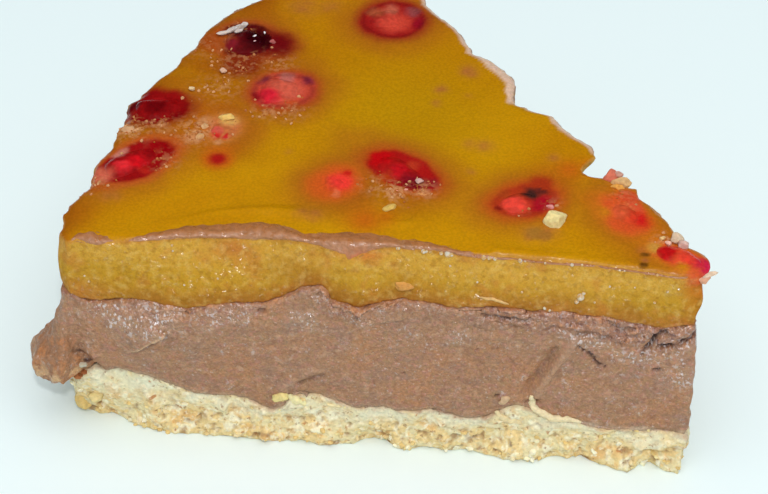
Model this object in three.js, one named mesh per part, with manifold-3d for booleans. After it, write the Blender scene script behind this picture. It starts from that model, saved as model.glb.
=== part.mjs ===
// A slice of layered chocolate tart: a biscuit crumb base, a chocolate mousse and a fruit jelly with
// pomegranate arils set into its top. Millimetres, +Z up.
//
// The slice is drawn with its tip at the origin, the front cut along -X, the back cut turned from it
// by the slice's angle and the rim as an arc about the tip. At the end the whole slice is moved so
// that it stands on z = 0 with the middle of its footprint at the origin.
import * as THREE from "three";
import { ImprovedNoise } from "three/addons/math/ImprovedNoise.js";
import { mergeVertices } from "three/addons/utils/BufferGeometryUtils.js";
import Module from "manifold-3d";

const wasm = await Module();
wasm.setup();

// ---- Driving dimensions ----

const tartRadius = 90; // a tart set in an 18 cm ring
const sliceAngle = THREE.MathUtils.degToRad(52.8); // about a seventh of the tart
const tartHeight = 38;
const baseHeight = 8.8; // mean height of the seam between biscuit and mousse
const jellySeamHeight = 28.8; // mean height of the seam between mousse and jelly
const seamGap = 0.25; // kept open between layers that rest on each other
const arilGap = 0.3; // kept open between an aril and its pocket in the jelly

const tipRadius = 0.9; // rounding of the slice's three upright corners, in plan
const rimCornerRadius = 1.5;
const jellyEdgeDrop = 0.7; // how far the jelly's top rounds over at its edge

// ---- Small maths ----

const perlin = new ImprovedNoise();
const { smoothstep } = THREE.MathUtils;

// Smooth noise of about -1 to 1 whose waves are `size` long.
function wobble(x, y, z, size, seed = 0) {
  return 1.6 * perlin.noise(x / size + seed, y / size + 0.37 * seed, z / size);
}

// A smooth hill of height 1 at `centre` that is gone about two `width`s away.
function hill(value, centre, width) {
  return Math.exp(-(((value - centre) / width) ** 2));
}

// Repeatable random numbers from 0 to 1.
function makeRandom(seed) {
  let state = seed;
  return () => {
    state = (state * 1664525 + 1013904223) % 4294967296;
    return state / 4294967296;
  };
}

// Smooth height through [distance from the tip, height] pairs.
function profile(points) {
  const curve = new THREE.CatmullRomCurve3(
    points.map(([along, height]) => new THREE.Vector3(along, height, 0)),
    false,
    "centripetal",
  );
  const steps = curve.getPoints(points.length * 8);
  return (along) => {
    const next = steps.findIndex((p) => p.x > along);
    if (next === 0) return steps[0].y;
    if (next < 0) return steps[steps.length - 1].y;
    const [a, b] = [steps[next - 1], steps[next]];
    return THREE.MathUtils.mapLinear(along, a.x, b.x, a.y, b.y);
  };
}

// ---- The slice in plan ----

const rimFront = new THREE.Vector2(-tartRadius, 0);
const backWay = new THREE.Vector2(-Math.cos(sliceAngle), Math.sin(sliceAngle));
const rimBack = backWay.clone().multiplyScalar(tartRadius);
const planCentre = rimFront.clone().add(rimBack).divideScalar(3);

// The slice's outline seen from above, clockwise from the tip: front cut, rim, back cut.
function outline() {
  const path = new THREE.Path();
  const tipCut = tipRadius / Math.tan(sliceAngle / 2);
  const cornerCut = rimCornerRadius / tartRadius; // as an angle on the rim
  path.moveTo(-tipCut, 0);
  path.lineTo(rimFront.x + rimCornerRadius, 0);
  path.quadraticCurveTo(
    rimFront.x,
    0,
    -tartRadius * Math.cos(cornerCut),
    tartRadius * Math.sin(cornerCut),
  );
  path.absarc(0, 0, tartRadius, Math.PI - cornerCut, Math.PI - sliceAngle + cornerCut, true);
  const backStart = backWay.clone().multiplyScalar(tartRadius - rimCornerRadius);
  path.quadraticCurveTo(rimBack.x, rimBack.y, backStart.x, backStart.y);
  path.lineTo(backWay.x * tipCut, backWay.y * tipCut);
  path.quadraticCurveTo(0, 0, -tipCut, 0);
  return path;
}

// Where a point of the outline lies: how far along each cut, and how much it belongs to each side.
function place(x, y) {
  const fromBackCut = -x * backWay.y + y * backWay.x;
  const radius = Math.hypot(x, y);
  return {
    radius, // distance from the tip
    along: -x, // the same measured along the front cut
    turn: Math.atan2(y, -x) * tartRadius, // along the rim, from the front corner
    across: Math.abs(y) + Math.abs(fromBackCut), // width of the slice there
    front: 1 - smoothstep(y, 0.4, 3),
    back: 1 - smoothstep(Math.abs(fromBackCut), 0.4, 3),
    rim: smoothstep(radius, tartRadius - 3, tartRadius - 0.4),
  };
}

const notchAt = 29; // a notch torn from the jelly's edge on the back cut, measured from the tip

// Points round the outline, closest together on the front cut, at the corners and by the notch.
function sampleOutline() {
  const path = outline();
  const length = path.getLength();
  const corners = [0, tartRadius, tartRadius * (1 + sliceAngle), length];
  const stepAt = (distance) => {
    const nearest = Math.min(...corners.map((corner) => Math.abs(distance - corner)));
    if (nearest < 3) return 1.15;
    if (Math.abs(length - distance - notchAt) < 4) return 1.6;
    return distance < tartRadius ? 2.05 : 3.4;
  };
  const distances = [];
  for (let distance = 0; distance < length; distance += stepAt(distance)) distances.push(distance);
  return distances.map((distance) => {
    const share = distance / length;
    const tangent = path.getTangentAt(share);
    return { point: path.getPointAt(share), outward: new THREE.Vector2(-tangent.y, tangent.x) };
  });
}

const outlinePoints = sampleOutline();
const columns = outlinePoints.length;

// ---- Seams between the layers ----

// Heights of the two seams where they show on the front cut, from the tip to the rim.
const biscuitSeamFront = profile([
  [0, 8.2], [8, 9], [16, 10.2], [24, 11], [29, 9.4], [38, 8.3], [47, 8.2],
  [57, 9.6], [62, 7.4], [68, 8.6], [77, 10.2], [84, 11.4], [90, 12.6],
]);
const jellySeamFront = profile([
  [0, 27.4], [10, 28.1], [22, 29], [34, 29.5], [43, 30.4], [49, 28.7], [54, 31.4],
  [60, 29.6], [66, 28.2], [71, 26.9], [78, 28], [90, 27.2],
]);
const seamReach = 9; // how far in from the front cut those heights hold

function seamHeight(front, mean, x, y, roughness, seed) {
  const inwards = Math.exp(-((Math.max(y, 0) / seamReach) ** 2));
  const waves = wobble(x, y, 0, 11, seed) + 0.5 * wobble(x, y, 0, 4.3, seed + 3);
  return THREE.MathUtils.lerp(mean, front(-x), inwards) + roughness * waves;
}

// By the rim's front corner the mousse hangs down over the biscuit.
function biscuitSeam(x, y) {
  const { turn, radius } = place(x, y);
  const sag = 3.9 * hill(turn, 7, 6.5) * smoothstep(radius, tartRadius - 11, tartRadius - 1);
  return seamHeight(biscuitSeamFront, baseHeight, x, y, 0.5, 5.1) - sag;
}

const jellySeam = (x, y) => seamHeight(jellySeamFront, jellySeamHeight, x, y, 0.5, 9.7);

// ---- What lies on the jelly ----

// How far the jelly's front edge leans back from the front cut's plane.
const edgeSetBack = profile([
  [0, 0.4], [6, 1.2], [14, 1.9], [24, 2.2], [34, 2.6], [42, 3.2], [52, 2.8], [60, 3.2], [66, 3.2], [73, 2.2],
  [80, 0.8], [90, 0],
]);

// A smear of mousse that the knife left along that edge: its height and width.
const smearHeight = profile([
  [0, 0.2], [14, 0.5], [30, 0.7], [42, 1.2], [50, 1.1], [56, 1.5], [62, 1.9], [70, 1.3], [79, 0.6], [84, 0.1],
  [90, 0.2],
]);
const smearWidth = profile([
  [0, 1], [30, 1.6], [44, 3], [50, 2.2], [62, 4.4], [72, 3], [80, 1.8], [90, 1.4],
]);

function smearRise(x, y) {
  const width = smearWidth(-x);
  return smearHeight(-x) * hill(y - edgeSetBack(-x), 0.4 * width, 0.75 * width);
}

// Biscuit crumbs and scraps on the top: [x, y, size, share of the size that is its thickness].
const topCrumbs = [
  [-21.9, 11, 2.3, 0.7],
  [-43.6, 10.6, 1.6, 0.6],
  [-72.6, 49.4, 2.3, 0.5],
  [-68.6, 27.6, 1.8, 0.6],
  [-74.8, 24.6, 1.5, 0.6],
  [-66.5, 44.2, 1.2, 0.6],
  [-13.9, 20.2, 1.9, 0.8],
];

// The pomegranate arils: middle, length, width, height, turn in plan, and how far the top stands proud.
const arils = [
  { x: -70.2, y: 46.6, length: 8.6, width: 7.4, height: 6, turn: -20, proud: 0.7 },
  { x: -63.3, y: 35.6, length: 9.6, width: 8, height: 6.2, turn: 12, proud: 0.35 },
  { x: -81.2, y: 29.6, length: 9, width: 6.4, height: 6, turn: 14, proud: 0.55 },
  { x: -82.6, y: 17.4, length: 12, width: 6.6, height: 6, turn: 44, proud: 0.6 },
  { x: -70.6, y: 26.2, length: 6.6, width: 5.4, height: 5, turn: 65, proud: 0.3 },
  { x: -48.7, y: 54.2, length: 9.8, width: 8.6, height: 6.4, turn: 0, proud: 0.3 },
  { x: -52.9, y: 15.8, length: 7.6, width: 6.6, height: 5.4, turn: 30, proud: 0.15 },
  { x: -43.7, y: 18.6, length: 11.6, width: 6.4, height: 5.8, turn: -30, proud: 0.5 },
  { x: -26, y: 14.4, length: 9.2, width: 6, height: 5.4, turn: 24, proud: 0.3 },
  { x: -11.6, y: 12.4, length: 8, width: 5.4, height: 5.2, turn: -52, proud: 0.25 },
  { x: -3.6, y: 4.5, length: 8.4, width: 4.8, height: 4.8, turn: -26, proud: 0.45 },
];

// The jelly's skin lifts a little over each aril.
function arilSwell(x, y) {
  let rise = 0;
  for (const { x: ax, y: ay, length, proud } of arils) {
    rise = Math.max(rise, 0.6 * proud * hill(Math.hypot(x - ax, y - ay), 0, 0.5 * length));
  }
  return rise;
}

function jellyTop(x, y) {
  const waves = 0.22 * wobble(x, y, 0, 19, 2.3) + 0.1 * wobble(x, y, 0, 6, 4.9);
  return tartHeight + waves + arilSwell(x, y);
}

// ---- How the upright faces leave their plane ----

// The long fold where the knife dragged a flap of mousse over the front cut, near the rim: the flap
// ends along a line from [along, z] foldTop down to foldFoot, and stands out on the rim's side of it.
const foldTop = new THREE.Vector2(73, 24.6);
const foldFoot = new THREE.Vector2(87.5, 14);
const foldHeight = 1.5;

function foldRelief(along, z) {
  const way = foldFoot.clone().sub(foldTop);
  const from = new THREE.Vector2(along, z).sub(foldTop);
  const share = THREE.MathUtils.clamp(from.dot(way) / way.lengthSq(), 0, 1);
  const bow = 1.5 * Math.sin(Math.PI * share); // the line bows towards the tip
  const beyond = from.cross(way) / way.length() + bow;
  return foldHeight * smoothstep(beyond, -0.5, 0.7) * Math.exp(-Math.max(beyond, 0) / 9);
}

// Ridges left by the knife on the mousse: [along, z] at each end and the height. Each falls off
// sharply below and slowly above.
const knifeDrags = [
  { from: [19, 24], to: [28, 12.4], height: 0.7 },
  { from: [14, 23.6], to: [9.5, 19], height: 0.5 },
  { from: [60, 9], to: [52, 14.6], height: 0.7 },
  { from: [36, 24.6], to: [47, 22], height: 0.4 },
  { from: [5, 12], to: [30, 13.4], height: 0.35 },
];

function dragRelief(along, z) {
  let relief = 0;
  for (const { from, to, height } of knifeDrags) {
    const way = new THREE.Vector2(to[0] - from[0], to[1] - from[1]);
    const off = new THREE.Vector2(along - from[0], z - from[1]);
    const share = off.dot(way) / way.lengthSq();
    const side = Math.abs(off.cross(way)) / way.length();
    relief += height * hill(share, 0.5, 0.6) * hill(side, 0, 1.5);
  }
  return relief;
}

// Torn hollows in the mousse just under the jelly, by the tip: [along, z, depth, width].
const tears = [
  [5.4, 26.2, 1.9, 1.9],
  [2.6, 24.9, 1.4, 1.4],
  [16, 26.6, 0.8, 1.6],
  [67.6, 27.2, 0.8, 1.2],
];

function frontRelief(along, z) {
  const slump = 1.8 * hill(along, 77, 14) * hill(z, 22.5, 8);
  const torn = tears.reduce(
    (sum, [a, h, depth, width]) => sum + depth * hill(Math.hypot(along - a, z - h), 0, width),
    0,
  );
  const inMousse = smoothstep(z, 8, 11) * (1 - smoothstep(z, 27, 30));
  return slump + inMousse * (foldRelief(along, z) + dragRelief(along, z)) - torn;
}

// How far the rim stands out of its arc, measured along the rim, and the back cut out of its plane,
// measured from the tip: the smeared ledge, the dent past it, the pointed corner and the notch.
const rimEdge = profile([
  [0, 0.6], [6, 0.7], [9, -0.2], [12, -1], [15, -0.5], [21, -0.7], [27, -0.2], [33, 0.5], [38, 0.1], [42, -0.5],
  [46, 0.1], [53, 1.5], [58, 1.4], [67, 0.3], [76, 0.8], [83, 0],
]);
const backEdge = profile([
  [0, 0.2], [4, 1.2], [9, 1.6], [15, 2.3], [20, 2], [24, 1.3], [27.2, 0.3], [notchAt, 0.1], [30.6, 2.6],
  [34, 1.9], [39.5, 1.5], [42.5, 0.2], [45.5, -1], [47.6, -0.8], [49.4, 0.8], [55.5, 1.3], [58.5, 0.2],
  [61, -0.1], [66, 0.5], [72, 0.1], [80, 0.6], [90, 0],
]);

// The back cut is as uneven as the front one, with a drag and a fold of its own.
function backRelief(along, z) {
  const inMousse = smoothstep(z, 9, 12) * (1 - smoothstep(z, 26, 29));
  const shelf = 1.1 * smoothstep(z - 0.14 * (along - 30), 13.6, 14.6) * hill(along, 36, 16);
  return 0.5 * backEdge(along) + inMousse * (shelf + 0.9 * hill(along, 68, 9) * hill(z, 20, 5));
}

// The mousse squeezed out at the foot of the rim: a low skirt, and a lump beside the front corner.
function skirtRelief(turn, z, seam) {
  const lump = smoothstep(z - seam, -2, 1.2) * (1 - smoothstep(z, 12.5, 25));
  const skirt = smoothstep(z - seam, -2.5, 4) * (1 - smoothstep(z, 13.5, 27));
  return 6.6 * lump * hill(turn, 3, 6) + skirt * (0.6 + 0.7 * wobble(turn, 0, 0, 9, 1.9));
}

function mousseWall(x, y, z) {
  const { along, front, back, rim, turn, radius } = place(x, y);
  const rough = 0.3 * wobble(x, y, z, 8, 7.7) + 0.22 * wobble(x, y, z, 3.4, 3.3);
  return (
    rough * (1 - 0.7 * hill(radius, 0, 5)) +
    front * frontRelief(along, z) +
    back * (1 - front) * backRelief(radius, z) +
    rim * (0.6 * rimEdge(turn) + 0.3 + skirtRelief(turn, z, biscuitSeam(x, y)))
  );
}

function jellyWall(x, y, z) {
  const { along, front, back, rim, turn, radius } = place(x, y);
  const up = smoothstep(z, jellySeamHeight - 2, tartHeight + 2); // 0 below the seam, 1 above the top
  const leanBack = -1.15 * up * edgeSetBack(along);
  const slump = 1.2 * (1 - up) * hill(along, 77, 14);
  return (
    0.14 * wobble(x, y, z, 5, 1.3) +
    front * (leanBack + slump) +
    back * (1 - front) * backEdge(radius) * (0.4 + 0.6 * smoothstep(z, 31, 36)) +
    rim * (rimEdge(turn) + 0.3 * wobble(turn, 0, 0, 5, 6.1))
  );
}

// Crumbly all round, standing out at the tip's upper edge, with its front corner at the rim broken off.
function biscuitWall(x, y, z) {
  const { along, front, rim, turn, radius } = place(x, y);
  const atTip = hill(radius, 0, 6);
  const crumbs = (1 - 0.7 * atTip) * (0.6 * wobble(x, y, z, 3.1, 2.9) + 0.5 * wobble(x, y, z, 6.5, 5.5));
  const foot = 0.6 * (1 - smoothstep(z, 1, 6)) * wobble(x, y, 0, 7.5, 8.1) * (1 - atTip);
  const brokenFoot = -2.6 * front * smoothstep(along, 78, 88) * (1 - smoothstep(z, 2, 9));
  const brokenCorner = -1.6 * hill(Math.hypot(along - tartRadius, y), 0, 3) * (1 - smoothstep(z, 2, 9));
  const tip = atTip * (0.6 * hill(z, 7.5, 2.5) - 0.5 * hill(z, 2.5, 2));
  return crumbs + foot + brokenFoot + brokenCorner + tip + rim * (1.2 * hill(turn, 6, 5) - 0.4);
}

// ---- Solids ----

// A closed layer between a bottom and a top face. `wall` gives how far the upright face stands out of
// the outline at a point, and `levels` is the number of bands up it. A face has a height over x and y
// and rings at `insets`, as shares of the way from the edge to the middle. A seam's rings stand at the
// same x and y whichever layer they belong to, so that two layers meeting there run side by side.
function layer({ bottom, top, wall, levels }) {
  const vertices = [];
  const add = (x, y, z) => vertices.push(x, y, z) / 3 - 1;
  const standOut = ({ point, outward }, z) => {
    const { across } = place(point.x, point.y);
    const relief = Math.max(wall(point.x, point.y, z), -0.28 * across - 0.1);
    return outward.clone().multiplyScalar(relief).add(point);
  };
  const edgeHeight = (face, { point }) => face.height(point.x, point.y) + (face.round?.(0) ?? 0);
  const faceRing = (face, inset, isFirst) =>
    outlinePoints.map((sample) => {
      const from = face.isSeam ? sample.point.clone() : standOut(sample, edgeHeight(face, sample));
      const at = from.lerp(planCentre, inset);
      if (face.isSeam && isFirst) return add(at.x, at.y, edgeHeight(face, sample));
      return add(at.x, at.y, face.height(at.x, at.y) + (face.round?.(inset) ?? 0));
    });

  const bottomRings = bottom.insets.map((inset, i) => faceRing(bottom, inset, i === 0)).reverse();
  const wallRings = Array.from({ length: levels + 1 }, (_, level) =>
    outlinePoints.map((sample) => {
      const z = THREE.MathUtils.lerp(edgeHeight(bottom, sample), edgeHeight(top, sample), level / levels);
      const at = standOut(sample, z);
      return add(at.x, at.y, z);
    }),
  );
  const topRings = top.insets.map((inset, i) => faceRing(top, inset, i === 0));
  const rings = [...bottomRings, ...wallRings, ...topRings];
  const poleBottom = add(planCentre.x, planCentre.y, bottom.height(planCentre.x, planCentre.y));
  const poleTop = add(planCentre.x, planCentre.y, top.height(planCentre.x, planCentre.y));

  const faces = [];
  for (let ring = 0; ring + 1 < rings.length; ring++) {
    const inwards = ring - bottomRings.length - levels; // rings in from the top edge, when not negative
    const outwards = bottomRings.length - 1 - ring; // rings in from the bottom edge, likewise
    for (let i = 0; i < columns; i++) {
      const next = (i + 1) % columns;
      const [a, b] = [rings[ring][i], rings[ring][next]];
      const [d, c] = [rings[ring + 1][i], rings[ring + 1][next]];
      const isOdd = (i + Math.max(inwards, outwards, 0)) % 2 === 1;
      if (isOdd !== outwards >= 0) faces.push(a, c, b, a, d, c);
      else faces.push(a, d, b, b, d, c);
    }
  }
  const last = rings.length - 1;
  for (let i = 0; i < columns; i++) {
    const next = (i + 1) % columns;
    faces.push(poleBottom, rings[0][i], rings[0][next], poleTop, rings[last][next], rings[last][i]);
  }
  const geometry = new THREE.BufferGeometry();
  geometry.setAttribute("position", new THREE.Float32BufferAttribute(vertices, 3));
  geometry.setIndex(faces);
  return geometry;
}

// One side of the seam between two layers, `offset` above or below it.
function seamFace(height, offset) {
  return { height: (x, y) => height(x, y) + offset, insets: [0.09, 0.4], isSeam: true };
}

// An angular crumb: a 20-sided solid with its corners moved about.
function crumb(size, thickness, seed) {
  const geometry = new THREE.IcosahedronGeometry(size, 0);
  geometry.deleteAttribute("normal");
  geometry.deleteAttribute("uv");
  const merged = mergeVertices(geometry);
  const random = makeRandom(seed);
  const position = merged.attributes.position;
  for (let i = 0; i < position.count; i++) {
    const stretch = 0.72 + 0.5 * random();
    position.setXYZ(
      i,
      position.getX(i) * stretch,
      position.getY(i) * stretch,
      position.getZ(i) * stretch * thickness,
    );
  }
  return merged.rotateZ(6.28 * random());
}

// A pomegranate aril: a plump drop with soft flats, narrower at one end and flattened on top where
// the jelly's skin passes over it. `margin` makes it that much larger all round.
function arilGeometry({ length, width, height, turn }, seed, margin = 0) {
  const geometry = new THREE.IcosahedronGeometry(1, 2);
  geometry.deleteAttribute("normal");
  geometry.deleteAttribute("uv");
  const merged = mergeVertices(geometry, 1e-3);
  const position = merged.attributes.position;
  const half = new THREE.Vector3(length / 2, width / 2, height / 2);
  for (let i = 0; i < position.count; i++) {
    const way = new THREE.Vector3().fromBufferAttribute(position, i);
    const flats = 1 + 0.07 * wobble(way.x, way.y, way.z, 0.9, seed);
    const narrow = 1 - 0.22 * way.x;
    const flatTop = way.z > 0 ? 1 - 0.28 * way.z : 1;
    position.setXYZ(
      i,
      way.x * (half.x * flats + margin),
      way.y * (half.y * flats * narrow + margin),
      way.z * (half.z * flats * narrow * flatTop + margin),
    );
  }
  return merged.rotateZ(THREE.MathUtils.degToRad(turn));
}

// Height of an aril's middle, so that its top stands `proud` of the jelly round it.
function arilMiddle(aril, geometry) {
  geometry.computeBoundingBox();
  return tartHeight + aril.proud - geometry.boundingBox.max.z;
}

// ---- Joining and cutting ----

function toSolid(geometry) {
  const triVerts = new Uint32Array(geometry.index.array);
  const vertProperties = new Float32Array(geometry.attributes.position.array);
  return new wasm.Manifold(new wasm.Mesh({ numProp: 3, vertProperties, triVerts }));
}

function toGeometry(solid) {
  const { vertProperties, triVerts } = solid.getMesh();
  const geometry = new THREE.BufferGeometry();
  geometry.setAttribute("position", new THREE.BufferAttribute(vertProperties, 3));
  geometry.setIndex(new THREE.BufferAttribute(triVerts, 1));
  return geometry;
}

// Crumbs fused round the biscuit's upright faces, thickest along the foot of the front cut.
function withWallCrumbs(biscuit, count, seed) {
  const random = makeRandom(seed);
  let solid = biscuit;
  for (let i = 0; i < count; i++) {
    const share = i < 0.55 * count ? 0.42 * random() : random();
    const { point, outward } = outlinePoints[Math.floor(share * columns)];
    const size = 1 + 1.1 * random();
    const z = size + Math.max(biscuitSeam(point.x, point.y) - 2.3 * size, 0) * random() ** 1.6;
    const out = biscuitWall(point.x, point.y, z) - 0.25 * size;
    const piece = crumb(size, 0.8, seed + i).translate(
      point.x + outward.x * out,
      point.y + outward.y * out,
      Math.max(z, 0.87 * size),
    );
    solid = solid.add(toSolid(piece));
  }
  return solid;
}

function withTopCrumbs(jelly) {
  return topCrumbs.reduce((solid, [x, y, size, thickness], i) => {
    const piece = crumb(size, thickness, 40 + i).translate(x, y, jellyTop(x, y) + 0.35 * size * thickness);
    return solid.add(toSolid(piece));
  }, jelly);
}

// ---- The slice ----

function material(colour, roughness) {
  return new THREE.MeshStandardMaterial({ color: colour, roughness, metalness: 0 });
}

const slice = new THREE.Group();

function addPiece(name, geometry, look) {
  const mesh = new THREE.Mesh(geometry, look);
  mesh.name = name;
  slice.add(mesh);
  return mesh;
}

function addBiscuitBase() {
  const plain = layer({
    bottom: { height: () => 0, insets: [0.1] },
    top: seamFace(biscuitSeam, 0),
    wall: biscuitWall,
    levels: 5,
  });
  addPiece("biscuit_base", toGeometry(withWallCrumbs(toSolid(plain), 20, 11)), material(0xd8c493, 0.9));
}

function addMousse() {
  const geometry = layer({
    bottom: seamFace(biscuitSeam, seamGap),
    top: seamFace(jellySeam, -seamGap),
    wall: mousseWall,
    levels: 10,
  });
  addPiece("chocolate_mousse", geometry, material(0xa07c66, 0.45));
}

function addJelly(arilPlaces) {
  const geometry = layer({
    bottom: seamFace(jellySeam, 0),
    top: {
      height: (x, y) => jellyTop(x, y) + smearRise(x, y),
      insets: [0.022, 0.055, 0.1, 0.18, 0.35, 0.65],
      round: (inset) => -jellyEdgeDrop * Math.max(0, 1 - inset / 0.055) ** 2,
    },
    wall: jellyWall,
    levels: 5,
  });
  const pockets = arilPlaces.map(({ aril, seed, z }) =>
    toSolid(arilGeometry(aril, seed, arilGap).translate(aril.x, aril.y, z)),
  );
  const jelly = pockets.reduce((solid, pocket) => solid.subtract(pocket), withTopCrumbs(toSolid(geometry)));
  addPiece("fruit_jelly", toGeometry(jelly), material(0xb98a14, 0.25));
}

function addArils(arilPlaces) {
  const ruby = material(0xa01c1c, 0.2);
  arilPlaces.forEach(({ aril, seed, z }, i) => {
    const name = "aril_" + String(i + 1).padStart(2, "0");
    addPiece(name, arilGeometry(aril, seed), ruby).position.set(aril.x, aril.y, z);
  });
}

const arilPlaces = arils.map((aril, i) => {
  const seed = 3.1 + 1.7 * i;
  return { aril, seed, z: arilMiddle(aril, arilGeometry(aril, seed)) };
});

addBiscuitBase();
addMousse();
addJelly(arilPlaces);
addArils(arilPlaces);

// Stand the slice on z = 0 with the middle of its footprint at the origin.
const bounds = new THREE.Box3().setFromObject(slice, true);
const middle = bounds.getCenter(new THREE.Vector3());
slice.position.set(-middle.x, -middle.y, -bounds.min.z);

export default slice;
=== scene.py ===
import math

import bmesh
import bpy
import numpy as np
from mathutils import Euler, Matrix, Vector
from mathutils.bvhtree import BVHTree


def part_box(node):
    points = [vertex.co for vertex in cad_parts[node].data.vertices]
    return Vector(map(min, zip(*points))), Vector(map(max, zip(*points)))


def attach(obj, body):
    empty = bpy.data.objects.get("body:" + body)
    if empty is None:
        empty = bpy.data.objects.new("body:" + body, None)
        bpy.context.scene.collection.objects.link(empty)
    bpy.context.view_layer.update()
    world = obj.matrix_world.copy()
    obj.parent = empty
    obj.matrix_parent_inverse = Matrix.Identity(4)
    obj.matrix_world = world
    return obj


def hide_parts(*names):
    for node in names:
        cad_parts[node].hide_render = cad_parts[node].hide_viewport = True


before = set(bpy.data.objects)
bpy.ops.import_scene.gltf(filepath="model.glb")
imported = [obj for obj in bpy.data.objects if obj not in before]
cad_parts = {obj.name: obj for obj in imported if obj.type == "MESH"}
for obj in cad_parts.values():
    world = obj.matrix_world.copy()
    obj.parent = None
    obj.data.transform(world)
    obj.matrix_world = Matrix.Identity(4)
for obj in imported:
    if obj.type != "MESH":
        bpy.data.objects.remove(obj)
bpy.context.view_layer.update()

mm = 0.001

# The slice's own measures in mm: its tip is the zero point, "along" runs down the front cut to the rim,
# "deep" runs back from the front cut, "up" is the height over the floor.
slicePlan = {
    "tipBeyondJelly": 1.247,  # the drawn tip lies this far past the jelly's rounded end
    "cutInsideJelly": 1.159,  # and the front cut this far inside the jelly's foremost point
    "radius": 90.0,
    "angle": math.radians(52.8),
    "height": 38.0,
}
jellyLow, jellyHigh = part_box("fruit_jelly")
tipPoint = np.array([
    jellyHigh[0] + slicePlan["tipBeyondJelly"] * mm,
    jellyLow[1] + slicePlan["cutInsideJelly"] * mm,
    0.0,
])
intoFront = Vector((0.0, 1.0, 0.0))


def fromSlice(along, deep, up):
    return Vector((tipPoint[0] - along * mm, tipPoint[1] + deep * mm, up * mm))


class Place:
    # where points lie on the slice, one array for each measure, in mm
    def __init__(self, points):
        local = (points - tipPoint) / mm
        self.points = local
        self.along = -local[:, 0]
        self.deep = local[:, 1]
        self.up = local[:, 2]
        self.radius = np.hypot(local[:, 0], local[:, 1])
        self.turn = np.arctan2(self.deep, self.along) * slicePlan["radius"]
        sine, cosine = math.sin(slicePlan["angle"]), math.cos(slicePlan["angle"])
        self.fromBack = self.along * sine - self.deep * cosine
        self.alongBack = self.along * cosine + self.deep * sine
        self.awayFromTip = local[:, :2] / np.maximum(self.radius, 1.0)[:, None]
        self.awayFromBack = np.array([[sine, cosine]])
        self.flat = local * [1.0, 0.0, 1.0]  # the same points pressed onto the front cut

    def fromSpot(self, along, deep):
        return np.hypot(self.along - along, self.deep - deep)


# Small maths

def rise(value, start, end):
    # a smooth step from 0 to 1
    t = np.clip((value - start) / (end - start), 0.0, 1.0)
    return t * t * (3.0 - 2.0 * t)


def fall(value, start, end):
    return 1.0 - rise(value, start, end)


def hill(value, centre, width):
    return np.exp(-(((value - centre) / width) ** 2))


def ramp(value, pairs):
    xs, ys = zip(*pairs)
    return np.interp(value, xs, ys)


def spots(place, places, moveAlong=0.0, moveDeep=0.0):
    # the strongest of several round soft spots, seen from above: along, deep, radius, strength
    field = np.zeros(len(place.along))
    for along, deep, radius, strength in places:
        away = np.hypot(place.along + moveAlong - along, place.deep + moveDeep - deep)
        field = np.maximum(field, strength * hill(away, 0.0, radius))
    return field


def lineDistance(x, y, path):
    # distance from a line of points, the share of it passed, and the side, 1 on its left going down it
    best = np.full(len(x), np.inf)
    share = np.zeros(len(x))
    side = np.zeros(len(x))
    for index in range(len(path) - 1):
        (startX, startY), (endX, endY) = path[index], path[index + 1]
        wayX, wayY = endX - startX, endY - startY
        part = np.clip(((x - startX) * wayX + (y - startY) * wayY) / (wayX ** 2 + wayY ** 2), 0.0, 1.0)
        offX, offY = x - startX - part * wayX, y - startY - part * wayY
        away = np.hypot(offX, offY)
        closer = away < best
        best = np.where(closer, away, best)
        share = np.where(closer, (index + part) / (len(path) - 1), share)
        side = np.where(closer, np.sign(wayX * offY - wayY * offX), side)
    return best, share, side


noiseOrigin = 500.0  # cells away from the tip, which keeps their numbers positive all over the slice


def hashTables(seed):
    rng = np.random.RandomState(seed)
    table = rng.permutation(256)
    return np.concatenate([table, table]), rng


def cellIndex(table, cell):
    first = table[cell[:, 0] & 255]
    second = table[(first + cell[:, 1]) & 255]
    return table[(second + cell[:, 2]) & 255]


def noise(points, size, seed=0):
    # gradient noise of about -1 to 1 whose waves are `size` mm long
    table, rng = hashTables(seed)
    slopes = rng.normal(size=(256, 3))
    slopes /= np.linalg.norm(slopes, axis=1)[:, None]
    grid = points / size + noiseOrigin
    cell = np.floor(grid).astype(int)
    part = grid - cell
    fade = part ** 3 * (part * (part * 6.0 - 15.0) + 10.0)
    total = np.zeros(len(points))
    for corner in np.ndindex(2, 2, 2):
        corner = np.array(corner)
        slope = slopes[cellIndex(table, cell + corner)]
        weight = np.prod(np.where(corner == 1, fade, 1.0 - fade), axis=1)
        total += weight * np.einsum("ij,ij->i", slope, part - corner)
    return 1.6 * total


def waves(points, *layers):
    # noise of several sizes added up; each layer is a size in mm, a height and a seed
    return sum(height * noise(points, size, seed) for size, height, seed in layers)


def grains(points, size, seed=0):
    # crumbs packed side by side: distance to the nearest crumb's middle, and a number of its own
    table, rng = hashTables(seed)
    jitter = rng.uniform(0.1, 0.9, size=(256, 3))
    own = rng.uniform(size=256)
    grid = points / size + noiseOrigin
    cell = np.floor(grid).astype(int)
    nearest = np.full(len(points), np.inf)
    owner = np.zeros(len(points))
    for step in np.ndindex(3, 3, 3):
        other = cell + np.array(step) - 1
        index = cellIndex(table, other)
        away = np.linalg.norm(other + jitter[index] - grid, axis=1)
        closer = away < nearest
        nearest = np.where(closer, away, nearest)
        owner = np.where(closer, own[index], owner)
    return nearest, owner


# Meshes

def readMesh(items, name, width, kind=float):
    values = np.empty(len(items) * width, dtype=kind)
    items.foreach_get(name, values)
    return values.reshape(-1, width)


def meshPoints(mesh):
    return readMesh(mesh.vertices, "co", 3)


def meshNormals(mesh):
    mesh.update()
    return readMesh(mesh.vertices, "normal", 3)


def meshEdges(mesh):
    return readMesh(mesh.edges, "vertices", 2, np.int32)


def setPoints(mesh, points):
    mesh.vertices.foreach_set("co", points.ravel())
    mesh.update()


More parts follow.
